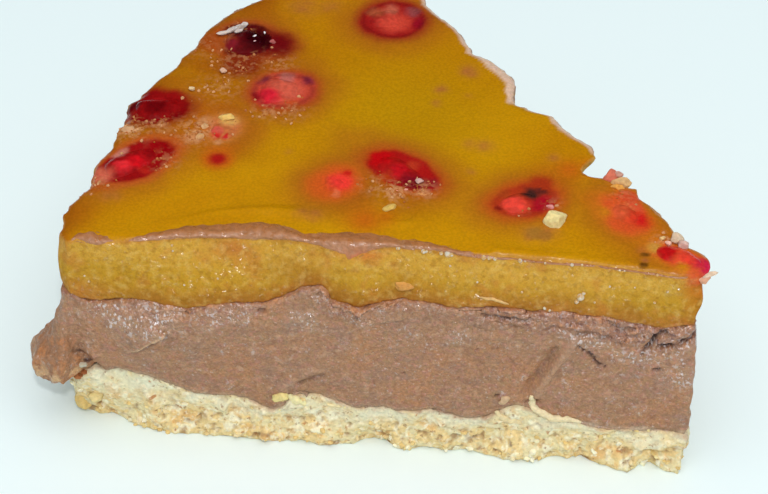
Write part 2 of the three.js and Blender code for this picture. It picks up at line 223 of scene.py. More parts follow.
def push(points, ways, distance):
    # move points along their ways by a distance in mm
    points[:, :ways.shape[1]] += ways * (distance * mm)[:, None]


def meshTree(mesh):
    corners = [vertex.co for vertex in mesh.vertices]
    return BVHTree.FromPolygons(corners, [face.vertices for face in mesh.polygons])


def relax(points, edges, weight, rounds):
    first, second = edges.T
    size = len(points)
    count = np.bincount(first, minlength=size) + np.bincount(second, minlength=size)
    points = points.copy()
    for _ in range(rounds):
        around = np.stack([
            np.bincount(first, points[second, k], size) + np.bincount(second, points[first, k], size)
            for k in range(3)
        ], axis=1) / count[:, None]
        points += 0.5 * weight[:, None] * (around - points)
    return points


def edited(mesh, change):
    work = bmesh.new()
    work.from_mesh(mesh)
    change(work)
    work.to_mesh(mesh)
    work.free()
    return mesh


def turnFacesOut(work):
    bmesh.ops.recalc_face_normals(work, faces=work.faces)


def mergedCopy(node):
    def merge(work):
        bmesh.ops.remove_doubles(work, verts=work.verts, dist=2e-6)
        turnFacesOut(work)

    mesh = edited(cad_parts[node].data.copy(), merge)
    mesh.materials.clear()
    return mesh


def evaluated(mesh, addModifiers):
    # a new mesh that is the given one with modifiers applied
    work = bpy.data.objects.new("work", mesh)
    bpy.context.scene.collection.objects.link(work)
    addModifiers(work)
    graph = bpy.context.evaluated_depsgraph_get()
    result = bpy.data.meshes.new_from_object(work.evaluated_get(graph))
    bpy.data.objects.remove(work)
    return result


def joined(meshes):
    result = bpy.data.meshes.new("joined")

    def addAll(work):
        for mesh in meshes:
            work.from_mesh(mesh)

    return edited(result, addAll)


def remeshed(mesh, voxel):
    def addRemesh(work):
        remesh = work.modifiers.new("fine", "REMESH")
        remesh.mode = "VOXEL"
        remesh.voxel_size = voxel * mm
    return evaluated(mesh, addRemesh)


def icosphere(subdivisions):
    def addBall(work):
        bmesh.ops.create_icosphere(work, subdivisions=subdivisions, radius=1.0)

    return edited(bpy.data.meshes.new("ball"), addBall)


def setField(mesh, name, values):
    field = mesh.attributes.new(name, "FLOAT", "POINT")
    field.data.foreach_set("value", np.asarray(values, dtype=np.float32))


def setColours(mesh, name, colours):
    field = mesh.attributes.new(name, "FLOAT_COLOR", "POINT")
    rgba = np.concatenate([np.clip(colours, 0.0, 1.0), np.ones((len(colours), 1))], axis=1)
    field.data.foreach_set("color", rgba.astype(np.float32).ravel())


def addPiece(name, mesh, material, nodes=(), smooth=True):
    mesh.name = name
    mesh.materials.clear()
    mesh.materials.append(material)
    mesh.polygons.foreach_set("use_smooth", np.full(len(mesh.polygons), smooth))
    mesh.update()
    piece = bpy.data.objects.new(name, mesh)
    bpy.context.scene.collection.objects.link(piece)
    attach(piece, "root")
    if nodes:
        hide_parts(*nodes)
    triangles = sum(len(face.vertices) - 2 for face in mesh.polygons)
    print(f"{name}: {triangles} triangles")
    return piece


# Colours and materials

def linear(red, green, blue):
    def one(value):
        value /= 255.0
        return value / 12.92 if value <= 0.04045 else ((value + 0.055) / 1.055) ** 2.4
    return (one(red), one(green), one(blue), 1.0)


def colourArray(red, green, blue):
    return np.array(linear(red, green, blue)[:3])


def blend(colours, colour, weight):
    colours += (colour - colours) * np.clip(weight, 0.0, 1.0)[:, None]


def addNode(tree, kind, inputs, **settings):
    # inputs by name or number: a socket is linked, anything else is set
    made = tree.nodes.new(kind)
    for key, value in settings.items():
        setattr(made, key, value)
    for name, value in inputs.items():
        if isinstance(value, bpy.types.NodeSocket):
            tree.links.new(value, made.inputs[name])
        else:
            made.inputs[name].default_value = value
    return made.outputs


class Look:
    # a material under construction: its colour is built up by mixing one colour after another into it;
    # colours are in sRGB, sizes and depths in mm, and a name stands for the mesh's field of that name
    def __init__(self, name, colour, roughness, specular=0.5):
        self.material = bpy.data.materials.new(name)
        self.material.use_nodes = True
        self.tree = self.material.node_tree
        self.shader = self.tree.nodes["Principled BSDF"].inputs
        self.shader["Roughness"].default_value = roughness
        self.shader["Specular IOR Level"].default_value = specular
        self.coords = self.node("ShaderNodeTexCoord", {})["Object"]
        self.colour = self.node("ShaderNodeRGB", {})[0]
        self.colour.default_value = linear(*colour)

    def node(self, kind, inputs, **settings):
        for key, value in inputs.items():
            if isinstance(value, str):
                inputs[key] = self.field(value)
        return addNode(self.tree, kind, inputs, **settings)

    def field(self, name, output="Fac"):
        return self.node("ShaderNodeAttribute", {}, attribute_name=name)[output]

    def noise(self, size, detail=2.0, stretch=(1.0, 1.0, 1.0), distortion=0.0):
        mapped = self.node("ShaderNodeMapping", {"Vector": self.coords, "Scale": stretch})["Vector"]
        inputs = {"Vector": mapped, "Scale": 1.0 / (size * mm), "Detail": detail, "Distortion": distortion}
        return self.node("ShaderNodeTexNoise", inputs)["Fac"]

    def cells(self, size):
        inputs = {"Vector": self.coords, "Scale": 1.0 / (size * mm)}
        return self.node("ShaderNodeTexVoronoi", inputs)["Distance"]

    def range(self, value, low, high, toLow=0.0, toHigh=1.0):
        inputs = {"Value": value, "From Min": low, "From Max": high, "To Min": toLow, "To Max": toHigh}
        return self.node("ShaderNodeMapRange", inputs, interpolation_type="SMOOTHSTEP")["Result"]

    def clouds(self, size, detail, low, high, most=1.0, least=0.0, **shape):
        # soft spots of noise: `most` inside them and `least` between them
        return self.range(self.noise(size, detail, **shape), low, high, least, most)

    def times(self, *values):
        product = values[0]
        for value in values[1:]:
            product = self.node("ShaderNodeMath", {0: product, 1: value}, operation="MULTIPLY")[0]
        return product

    def plus(self, first, second):
        return self.node("ShaderNodeMath", {0: first, 1: second}, operation="ADD")[0]

    def mix(self, colour, *amounts):
        # the amounts multiply each other
        if isinstance(colour, tuple):
            colour = linear(*colour)
        inputs = {0: self.times(*amounts), 6: self.colour, 7: colour}
        self.colour = self.node("ShaderNodeMix", inputs, data_type="RGBA", clamp_factor=True)[2]

    def shade(self, value, low, high):
        # darken and lighten the colour: a value of 0.3 multiplies it by low, one of 0.7 by high
        inputs = {0: self.colour, "Scale": self.range(value, 0.3, 0.7, low, high)}
        self.colour = self.node("ShaderNodeVectorMath", inputs, operation="SCALE")["Vector"]

    def bump(self, height, depth):
        inputs = {"Height": height, "Distance": depth * mm}
        for before in self.shader["Normal"].links:
            inputs["Normal"] = before.from_socket
        self.feed("Normal", self.node("ShaderNodeBump", inputs)["Normal"])

    def feed(self, name, source):
        self.tree.links.new(source, self.shader[name])

    def glow(self, weight, depth, colour):
        # light that spreads under the surface
        self.shader["Subsurface Weight"].default_value = weight
        self.shader["Subsurface Radius"].default_value = colour
        self.shader["Subsurface Scale"].default_value = depth * mm

    def done(self):
        self.feed("Base Color", self.colour)
        return self.material


# What the CAD model gives

class Heights:
    # a grid of the heights where rays straight up first meet a node
    def __init__(self, node, fromUp, step=1.0):
        tree = meshTree(mergedCopy(node))
        self.step = step
        self.along = np.arange(-4.0, slicePlan["radius"] + 8.0, step)
        self.deep = np.arange(-6.0, slicePlan["radius"], step)
        self.grid = np.full((len(self.along), len(self.deep)), np.nan)
        for i, along in enumerate(self.along):
            for j, deep in enumerate(self.deep):
                hit, normal, _, _ = tree.ray_cast(fromSlice(along, deep, fromUp), Vector((0.0, 0.0, 1.0)))
                if hit and normal.z < -0.5:
                    self.grid[i, j] = hit.z / mm
        self.spread()

    def spread(self):
        # carry the heights past the slice's edges
        while np.isnan(self.grid).any():
            padded = np.pad(self.grid, 1, constant_values=np.nan)
            near = np.stack([padded[2:, 1:-1], padded[:-2, 1:-1], padded[1:-1, 2:], padded[1:-1, :-2]])
            known = ~np.isnan(near)
            total = np.where(known, near, 0.0).sum(axis=0)
            count = known.sum(axis=0)
            fill = np.isnan(self.grid) & (count > 0)
            self.grid[fill] = total[fill] / count[fill]

    def at(self, along, deep):
        x = np.clip((along - self.along[0]) / self.step, 0.0, len(self.along) - 1.001)
        y = np.clip((deep - self.deep[0]) / self.step, 0.0, len(self.deep) - 1.001)
        i, j = np.floor(x).astype(int), np.floor(y).astype(int)
        u, v = x - i, y - j
        g = self.grid
        return (
            g[i, j] * (1 - u) * (1 - v) + g[i + 1, j] * u * (1 - v)
            + g[i, j + 1] * (1 - u) * v + g[i + 1, j + 1] * u * v
        )


biscuitSeam = Heights("chocolate_mousse", 0.0)
jellySeam = Heights("fruit_jelly", 20.0)
print("seams measured")


def sharpenTip(points, place):
    # the knife left the tip a little sharper than the CAD model's rounding, except at the very top
    atTop = rise(place.up, slicePlan["height"] - 4.0, slicePlan["height"] - 0.5)
    inMousse = rise(place.up, 6.0, 9.0) * fall(place.up, 20.0, 29.0)
    points[:, 0] += (0.95 * (1.0 - 1.3 * atTop) + 0.7 * inMousse) * hill(place.radius, 0.0, 5.5) * mm


# The two seams as they show on the front cut: how much higher than in the CAD model they run, in mm,
# from the tip to the rim, and their small waves.
seams = {
    "jellyLift": [
        (0, 2.4), (3, 2.2), (5, 1.5), (7, 1.2), (9, 1.5), (13, 1.6), (15, 1.0), (18, 1.2), (21, 1.0),
        (24, 0.2), (26.5, 0.8), (30, 1.0), (33, 0.4), (36, 0.3), (42, 0.0), (44, -0.7), (46.8, -0.4),
        (48.4, -0.8), (50, -0.4), (51, -1.0), (52, -1.6), (52.7, -0.2), (53.6, 0.3), (55, -0.2),
        (56.4, 0.0), (57.4, -0.6), (59.4, -1.1), (62, -1.3), (63.4, -0.8), (65, -0.3), (67, 0.2),
        (69, 0.5), (71, 0.6), (72.6, -0.2), (74.4, -0.4), (76, -0.6), (78, -0.1), (81, 0.0), (83, -0.5),
        (86.8, -0.9), (88, -0.4), (89, 0.5), (90, 1.1),
    ],
    "biscuitLift": [
        (0, -1.6), (3, -0.9), (5, -0.5), (8, -0.9), (10, -1.2), (11.7, -2.0), (13.5, -2.2), (16, -1.8),
        (21.5, -1.8), (23.4, -0.8), (25, 0.2), (27.4, 0.4), (28.6, -0.2), (30.4, -1.1), (33, -1.3),
        (35, -0.7), (37, 0.0), (43, -0.3), (44.6, 0.3), (46, 0.0), (49.4, -0.4), (51, 0.0), (55, 0.4),
        (57.6, 0.6), (58.6, 0.0), (59.6, -1.2), (61, -1.5), (62.6, -0.8), (64, 0.0), (67, 0.4), (69, 0.0),
        (72.7, -0.3), (75, 0.3), (77, 0.3), (78.8, 1.0), (81.4, 1.2), (84, 2.0), (86, 1.3), (88, 1.0),
        (90, 0.0),
    ],
    "jellyWaves": [(2.3, 0.2, 31), (0.95, 0.14, 32)],
    "biscuitWaves": [(2.3, 0.2, 41), (0.95, 0.14, 42)],
}


def seamDrift(place, kind):
    return ramp(place.along, seams[kind + "Lift"]) * fall(place.deep, 1.5, 7.0)


def seamShift(place):
    # how far, in mm, points move up with the seams; the layers on both sides of a seam share it
    flat = place.points * [1.0, 1.0, 0.0]
    shift = np.zeros(len(place.up))
    for kind, seam in (("jelly", jellySeam), ("biscuit", biscuitSeam)):
        over = place.up - seam.at(place.along, place.deep)
        # the mousse's side of a seam gives way over a longer distance
        reach = np.where((over < 0.0) == (kind == "jelly"), 5.5, 2.7)
        shift += waves(flat, *seams[kind + "Waves"]) * hill(over, 0.0, 1.8)
        shift += seamDrift(place, kind) * hill(over, 0.0, reach)
    return shift


# Chocolate mousse

mousse = {
    "voxel": 0.405,
    "pressed": 0.35,  # how far its two seam faces reach into the layers beside it
    "deepest": -2.6,  # limits of what the front cut is moved in and out by
    "foremost": 1.6,
    # waves of the front cut and roughness of the other faces: size, height, seed
    "waves": [(7.5, 0.28, 3), (2.6, 0.12, 5), (1.1, 0.05, 6)],
    "roughness": [(2.8, 0.2, 21), (1.2, 0.09, 22)],
    "body": (163, 120, 88), "warm": (174, 121, 82), "grey": (148, 113, 95), "dim": (142, 98, 72),
    "pale": (186, 146, 116), "pink": (178, 122, 104), "olive": (158, 124, 86), "caramel": (158, 112, 80),
    "orange": (186, 122, 74), "tan": (218, 178, 130), "lip": (208, 146, 102), "glint": (222, 212, 212),
    "lit": (212, 172, 136), "creaseShadow": (104, 70, 54), "milky": (196, 174, 148), "torn": (150, 92, 64),
    "tornDark": (104, 56, 42), "chip": (190, 126, 80), "hollow": (70, 34, 24),
    # lines on the front cut as (along, up): the flap that the knife folded over, and its faint start
    "fold": [(75.7, 22.6), (77.0, 21.6), (78.6, 20.3), (80.2, 18.7), (82.4, 16.4)],
    "foldStart": [(69.5, 26.6), (72.2, 25.6), (74.4, 24.0)],
    "lumpEdge": [(97.0, 21.0), (94.1, 19.6), (92.6, 18.6), (90.4, 16.8), (87.3, 14.6), (85.5, 12.5)],
    # ridges: path, half width, height
    "ridges": [
        ([(17.6, 24.8), (19.4, 21.5), (21.6, 16.6), (22.6, 13.4)], 0.8, 1.1),
        ([(50.1, 23.3), (46.3, 25.7), (40.6, 27.3)], 0.5, 0.3),
        ([(33.6, 26.4), (31.6, 27.2), (29.4, 26.2)], 0.4, 0.3),
        ([(59.6, 11.0), (56.2, 14.5), (54.0, 15.6)], 0.7, 0.45),
        ([(22.0, 24.4), (33.0, 25.0)], 0.5, 0.25),
        ([(12.0, 14.0), (22.0, 13.2)], 0.7, 0.2),
    ],
    # grooves: path, half width, depth, darkness of the shade painted in them
    "grooves": [
        ([(19.6, 24.0), (21.2, 20.6), (23.4, 16.0), (24.2, 13.4)], 0.55, 0.6, 0.4),
        ([(17.3, 24.3), (16.1, 23.0), (12.5, 19.4)], 0.22, 0.5, 1.0),
        ([(7.9, 23.4), (7.1, 25.4), (6.4, 27.3), (4.9, 28.0)], 0.34, 1.3, 1.0),
        ([(3.7, 25.4), (2.4, 26.9), (1.2, 28.0)], 0.3, 1.2, 1.0),
        ([(8.6, 22.6), (7.9, 23.4)], 0.3, 0.5, 0.7),
        ([(57.6, 11.8), (55.2, 13.4), (53.0, 14.4)], 0.45, 0.4, 0.5),
        ([(50.6, 22.8), (46.6, 25.1), (41.0, 26.7)], 0.3, 0.2, 0.35),
        ([(33.4, 25.9), (31.6, 26.7), (29.2, 25.7)], 0.3, 0.2, 0.4),
        ([(93.6, 19.2), (90.4, 16.8), (87.4, 14.7)], 0.35, 0.4, 0.8),
        ([(31.4, 28.9), (27.4, 28.6), (23.6, 28.2)], 0.3, 0.5, 0.8),
        ([(13.0, 28.2), (9.0, 27.9)], 0.3, 0.5, 0.6),
    ],
    # hollows: along, up, half length, half height, depth, darkness of the shade painted in them
    "hollows": [
        (16.6, 26.2, 1.3, 0.65, 0.5, 0.55), (13.6, 26.0, 1.2, 0.6, 0.5, 0.5),
        (5.3, 25.0, 1.0, 0.7, 1.3, 1.0), (6.1, 20.3, 0.5, 0.4, 0.6, 0.8),
        (41.9, 15.8, 0.3, 0.3, 0.4, 0.8), (31.4, 21.6, 0.35, 0.3, 0.4, 0.6),
        (28.4, 22.1, 0.3, 0.3, 0.4, 0.6), (54.0, 30.2, 0.5, 0.5, 0.5, 0.35),
        (47.9, 28.9, 0.45, 0.4, 0.5, 0.6), (26.4, 27.0, 0.7, 0.4, 0.5, 0.5),
        (20.8, 27.2, 0.8, 0.35, 0.5, 0.5), (62.1, 27.0, 0.7, 0.45, 0.8, 0.55),
        (23.0, 11.8, 1.1, 0.5, 0.6, 0.6), (28.2, 12.9, 0.5, 0.3, 0.5, 0.9),
        (11.0, 27.4, 0.8, 0.35, 0.5, 0.5), (2.4, 22.6, 0.4, 0.4, 0.5, 0.5),
        (88.3, 13.9, 0.7, 0.5, 0.8, 0.9), (87.2, 12.4, 0.5, 0.5, 0.8, 0.9),
        (88.4, 11.4, 0.5, 0.4, 0.6, 0.8),
    ],
    # how far below the jelly the cut is torn, and how strongly, from the tip to the rim
    "tornReach": [
        (0, 4.2), (10, 4.0), (20, 3.2), (28, 2.4), (36, 1.2), (46, 1.4), (53, 2.4), (60, 1.0), (68, 1.6),
        (78, 2.0), (90, 1.4),
    ],
    "tornStrength": [
        (0, 1.0), (14, 0.95), (26, 0.7), (34, 0.35), (50, 0.45), (60, 0.2), (68, 0.4), (90, 0.25),
    ],
}


def inHollow(along, up, hollow):
    middleAlong, middleUp, length, height = hollow[:4]
    return np.exp(-(np.hypot((along - middleAlong) / length, (up - middleUp) / height) ** 4))


def tornShare(place):
    seam = jellySeam.at(place.along, np.full(len(place.along), 1.0)) + seamDrift(place, "jelly")
    reach = ramp(place.along, mousse["tornReach"]) * (1.0 + 0.4 * noise(place.flat, 3.0, 15))
    share = rise(place.up, seam - reach - 1.5, seam - reach + 1.1)
    return share * ramp(place.along, mousse["tornStrength"])


def litRidgeShare(place):
    # 1 along the crests of the ridges, where a highlight is painted
    share = np.zeros(len(place.along))
    for path, width, height in mousse["ridges"]:
        away, _, _ = lineDistance(place.along, place.up, path)
        share = np.maximum(share, min(1.0, 1.4 * height) * hill(away, 0.0, 0.9 * width))
    return share


def foldGap(place):
    # signed distance from the folded flap's edge, negative on the flap, and how clear the edge is
    bend = 0.25 * noise(place.flat, 1.8, 14)
    away, share, side = lineDistance(place.along + bend, place.up - bend, mousse["fold"])
    ends = rise(share, 0.0, 0.1) * fall(share, 0.65, 1.0)
    return np.where(side > 0.0, -away, away), ends


def mousseFront(place):
    # how far the front cut of the mousse stands out, in mm, and how much shade is painted in its grooves,
    # hollows and torn pits
    bend = 0.3 * noise(place.flat, 1.8, 14)
    along, up = place.along + bend, place.up - bend
    torn = tornShare(place)
    out = 1.8 * hill(place.along, 77.0, 14.0) * hill(place.up, 22.5, 8.0)
    out += waves(place.flat, *mousse["waves"])
    ragged = noise(place.flat * [1.0, 1.0, 1.4], 1.9, 8)
    out += torn * (0.1 - 0.7 * rise(ragged, 0.1, 0.6) + 0.32 * noise(place.flat, 1.1, 9))
    recessShade = 0.5 * torn * rise(ragged, 0.3, 0.7)
    gap, ends = foldGap(place)
    out += 1.2 * ends * np.where(gap < 0.0, np.exp(gap / 4.0), rise(-gap, -0.2, 0.0))
    away, _, _ = lineDistance(along, up, mousse["foldStart"])
    out += 0.2 * hill(away, 0.0, 0.5)
    away, _, side = lineDistance(place.along, place.up, mousse["lumpEdge"])
    below = np.where(side > 0.0, rise(away, 0.0, 0.5), 0.0) * (place.along > 84.0)
    out -= 0.9 * below * hill(place.up, 13.5, 5.0)
    for path, width, height in mousse["ridges"]:
        away, share, _ = lineDistance(along, up, path)
        out += height * hill(away, 0.0, width) * (1.0 - 0.6 * np.abs(2.0 * share - 1.0))
    for path, width, depth, darkness in mousse["grooves"]:
        away, share, _ = lineDistance(along, up, path)
        groove = hill(away, 0.0, width) * rise(0.5 - np.abs(share - 0.5), 0.0, 0.1)
        out -= depth * groove
        recessShade = np.maximum(recessShade, darkness * groove)
    for hollow in mousse["hollows"]:
        inside = inHollow(along, up, hollow)
        out -= hollow[4] * inside
        recessShade = np.maximum(recessShade, hollow[5] * inside)
    return out, recessShade


def surfaceFront(mesh, place):
    # how far the given mesh's front face stands out of the cut plane at each point's place, in mm
    tree = meshTree(mesh)
    out = np.full(len(place.along), np.nan)
    for i in np.nonzero(place.deep < 5.0)[0]:
        start = fromSlice(place.along[i], -12.0, place.up[i])
        hit = tree.ray_cast(start, intoFront)[0]
        if hit and hit.y < start.y + 18.0 * mm:
            out[i] = (tipPoint[1] - hit.y) / mm
    return out


def lumpShare(place):
    # 1 on the lump squeezed out at the rim's foot, below the edge of the flap over it
    away, _, side = lineDistance(place.along, place.up, mousse["lumpEdge"])
    below = rise(np.where(side > 0.0, away, -away), -0.2, 0.3)
    edgeOnRim = rise(19.0 - 0.3 * place.turn - place.up, -0.5, 0.5)
    onRim = rise(place.radius, 89.0, 90.5)
    share = below * (1.0 - onRim) + edgeOnRim * onRim
    return share * (place.along > 83.0) * fall(place.turn, 13.0, 19.0)


def shapeLump(points, place):
    # draw the lump in at its shoulder and its front, and lift its underside off the floor
    ahead = np.minimum(place.deep + 0.6, 0.0) * rise(place.radius, 87.5, 91.0)
    points[:, 1] -= 0.42 * ahead * mm
    excess = np.maximum(place.radius - 91.0, 0.0) * fall(place.turn, 14.0, 24.0)
    pull = excess * (0.06 + 0.32 * hill(place.up, 18.8, 3.2))
    push(points, place.awayFromTip, -pull)
    underside = 7.8 - 1.0 * np.maximum(place.deep, -1.0) - 0.15 * (place.radius - 92.0)
    underside += 0.7 * noise(place.points, 2.4, 26)
    lift = np.maximum(underside - place.up, 0.0) * rise(place.radius, 90.2, 91.6)
    points[:, 2] += 0.88 * lift * fall(place.turn, 9.0, 14.0) * mm
    droop = 1.5 * rise(place.radius, 92.0, 95.0) * fall(place.up, 9.0, 15.0)
    points[:, 2] -= droop * fall(place.turn, 6.0, 10.0) * (place.along > 84.0) * mm


def makeMousseMesh():
    cad = mergedCopy("chocolate_mousse")
    mesh = remeshed(cad, mousse["voxel"])
    edges = meshEdges(mesh)
    points = relax(meshPoints(mesh), edges, np.ones(len(mesh.vertices)), 2)
    place = Place(points)
    coarse = surfaceFront(cad, place)
    belowJelly = jellySeam.at(place.along, place.deep) - place.up
    aboveBiscuit = place.up - biscuitSeam.at(place.along, place.deep)
    points[:, 2] += seamShift(place) * mm
    place = Place(points)
    wanted, recessShade = mousseFront(place)
    change = np.clip(np.where(np.isnan(coarse), 0.0, wanted - coarse), mousse["deepest"], mousse["foremost"])
    hold = fall(place.deep, 0.8, 4.5)
    hold *= rise(slicePlan["radius"] - place.radius, -2.5, 1.5) * rise(place.along, 0.3, 3.0)
    points[:, 1] -= change * hold * mm
    setPoints(mesh, points)
    normals = meshNormals(mesh)
    lump = lumpShare(place)
    rough = waves(place.points, *mousse["roughness"])
    rough += 0.14 * np.abs(noise(place.points * [1.0, 1.0, 0.5], 1.9, 23))
    rough += lump * (0.4 * noise(place.points, 2.1, 24) + 0.3 * np.abs(noise(place.points, 1.2, 25)) - 0.2)
    upright = fall(np.abs(normals[:, 2]), 0.5, 0.9)
    push(points, normals, rough * np.maximum(upright * (1.0 - hold), lump))
    # press the two seam faces onto the neighbours so that no gap shows
    isInside = (place.fromBack > 0.6) & (place.radius < slicePlan["radius"] - 0.6)
    upward = (normals[:, 2] > 0.5) & (belowJelly < 1.0)
    downward = (normals[:, 2] < -0.5) & (aboveBiscuit < 1.0)
    points[:, 2] += np.where(upward, mousse["pressed"], 0.0) * isInside * mm
    points[:, 2] -= np.where(downward, mousse["pressed"], 0.0) * isInside * mm
    shapeLump(points, place)
    sharpenTip(points, place)
    onTip = 0.4 * noise(place.flat * [0.0, 0.0, 1.0] + 40.0, 3.4, 27) + 0.22 * noise(place.points, 1.5, 28)
    points[:, 0] += onTip * hill(place.radius, 0.0, 4.0) * (belowJelly > 0.6) * mm
    setPoints(mesh, points)
    setField(mesh, "hollow", recessShade * hold)
    setField(mesh, "lump", lump)
    setField(mesh, "torn", tornShare(place) * fall(place.deep, 1.5, 4.0))
    gap, ends = foldGap(place)
    setField(mesh, "foldGap", np.clip(gap, -3.0, 3.0))
    setField(mesh, "folded", ends * hold)
    uneven = place.up + 0.9 * noise(place.points, 2.0, 29)
    setField(mesh, "lumpLow", lump * fall(uneven, 11.0, 15.5))
    setField(mesh, "litRidge", litRidgeShare(place) * hold)
    setField(mesh, "tipShare", fall(place.along, 14.0, 18.0))
    setField(mesh, "belowJelly", np.clip(belowJelly, 0.0, 4.0))
    setField(mesh, "aboveBiscuit", np.clip(aboveBiscuit, 0.0, 4.0))
    setField(mesh, "wetAndGlint", wetAndGlintShare(place))
    return mesh


def wetAndGlintShare(place):
    # where the cut mousse is wet and glossier, which is also where glints are painted into its colour:
    # moist streaks under the jelly and on the slumped flap
    flap = 1.2 * hill(place.along, 79.5, 5.5) * hill(place.up, 24.2, 2.4)
    band = hill(place.up, 25.2, 1.8) * rise(noise(place.points, 6.0, 51), -0.1, 0.3)
    end = hill(place.along, 3.0, 2.2) * hill(place.up, 19.0, 2.2)
    end += hill(place.along, 8.0, 4.0) * hill(place.up, 22.5, 1.6)
    speckle = rise(noise(place.points, 2.2, 52), 0.25, 0.6)
    onFront = 0.35 + 0.65 * fall(place.deep, 2.0, 6.0)
    wetAndGlint = flap + 0.75 * band + 0.8 * end + 0.4 * speckle + 0.7 * tornShare(place)
    return np.clip(wetAndGlint, 0.0, 1.0) * onFront


def mousseMaterial():
    look = Look("mousseLook", mousse["body"], 0.5, 0.5)
    look.mix(mousse["warm"], look.clouds(6.0, 4.0, 0.44, 0.62, 0.7))
    look.mix(mousse["grey"], look.clouds(3.4, 4.0, 0.5, 0.66, 0.6, stretch=(1.0, 1.0, 1.3)))
    look.mix(mousse["dim"], look.clouds(1.6, 4.0, 0.52, 0.66, 0.55))
    look.mix(mousse["pale"], look.clouds(1.2, 4.0, 0.55, 0.68, 0.6))
    look.mix(mousse["pink"], look.clouds(0.9, 3.0, 0.52, 0.64, 0.5))
    look.mix(mousse["olive"], look.clouds(0.8, 3.0, 0.54, 0.66, 0.5, stretch=(1.0, 1.0, 0.8)))
    milky = look.times(look.range("aboveBiscuit", 1.3, 0.3), look.clouds(3.6, 3.0, 0.44, 0.6))
    look.mix(mousse["milky"], milky, "tipShare", 0.5)
    look.mix(mousse["milky"], look.range("aboveBiscuit", 0.7, 0.0), 0.35)
    # painted highlight along the ridges' crests
    look.mix(mousse["pale"], "litRidge", 0.5)
    look.mix(mousse["torn"], "torn", look.clouds(2.2, 3.0, 0.36, 0.6, 0.8, 0.2))
    look.mix(mousse["tornDark"], "torn", look.clouds(0.9, 3.0, 0.54, 0.64, 0.8))
    look.mix(mousse["chip"], "torn", look.clouds(0.8, 3.0, 0.57, 0.66, 0.8))
    look.mix(mousse["caramel"], "lump", look.clouds(2.5, 3.0, 0.35, 0.6, 1.0, 0.5))
    look.mix(mousse["orange"], "lump", look.clouds(1.8, 3.0, 0.5, 0.62, 0.6))
    look.mix(mousse["tan"], "lumpLow", look.clouds(1.4, 3.0, 0.44, 0.6, 0.9))
    # a lighter tan lip just under the jelly: partly the mousse's own colour, partly painted light over the
    # shade in the seam
    lip = look.range(look.plus("belowJelly", look.times(look.noise(1.8, 2.0), 0.8)), 0.75, 0.4)
    look.mix(mousse["lip"], lip, 0.62)
    # painted shadow in the crease under the folded flap's edge, and a painted highlight along the flap's own
    # edge
    creaseShadow = look.times(look.range("foldGap", 0.0, 0.12), look.range("foldGap", 1.3, 0.3))
    look.mix(mousse["creaseShadow"], creaseShadow, "folded", 0.95)
    lit = look.times(look.range("foldGap", -0.6, -0.2), look.range("foldGap", 0.1, -0.03))
    look.mix(mousse["lit"], lit, "folded", 0.85)
    # painted shade in the grooves, hollows and torn pits
    look.mix(mousse["hollow"], look.range("hollow", 0.1, 0.9, 0.0, 0.95))
    look.shade(look.noise(0.5, 3.0), 0.86, 1.14)
    look.shade(look.noise(0.26, 2.0), 0.9, 1.1)
    # painted glints: whitish flecks in the wet places, fainter where the cut is torn, and a sparse few all
    # over
    glintSpots = look.clouds(0.5, 3.0, 0.55, 0.64, stretch=(1.0, 1.0, 0.65))
    whole = look.range("torn", 0.0, 0.8, 0.75, 0.35)
    look.mix(mousse["glint"], "wetAndGlint", glintSpots, whole)
    look.mix(mousse["glint"], look.clouds(0.42, 2.0, 0.65, 0.72, 0.3))
    gleams = look.plus("wetAndGlint", look.clouds(0.55, 2.0, 0.6, 0.66, 0.9))
    look.feed("Roughness", look.range(gleams, 0.1, 0.9, 0.44, 0.13))
    look.feed("Specular IOR Level", look.range(gleams, 0.0, 0.9, 0.22, 0.7))
    look.glow(0.12, 0.5, (1.0, 0.5, 0.3))
    look.bump(look.noise(1.8, 4.0), 0.3)
    look.bump(look.noise(0.6, 3.0), 0.24)
    look.bump(look.times("wetAndGlint", look.noise(0.5, 2.0)), 0.25)
    look.bump(look.times("torn", look.noise(0.8, 3.0)), 0.4)
    look.bump(look.noise(0.28, 2.0), 0.07)
    return look.done()
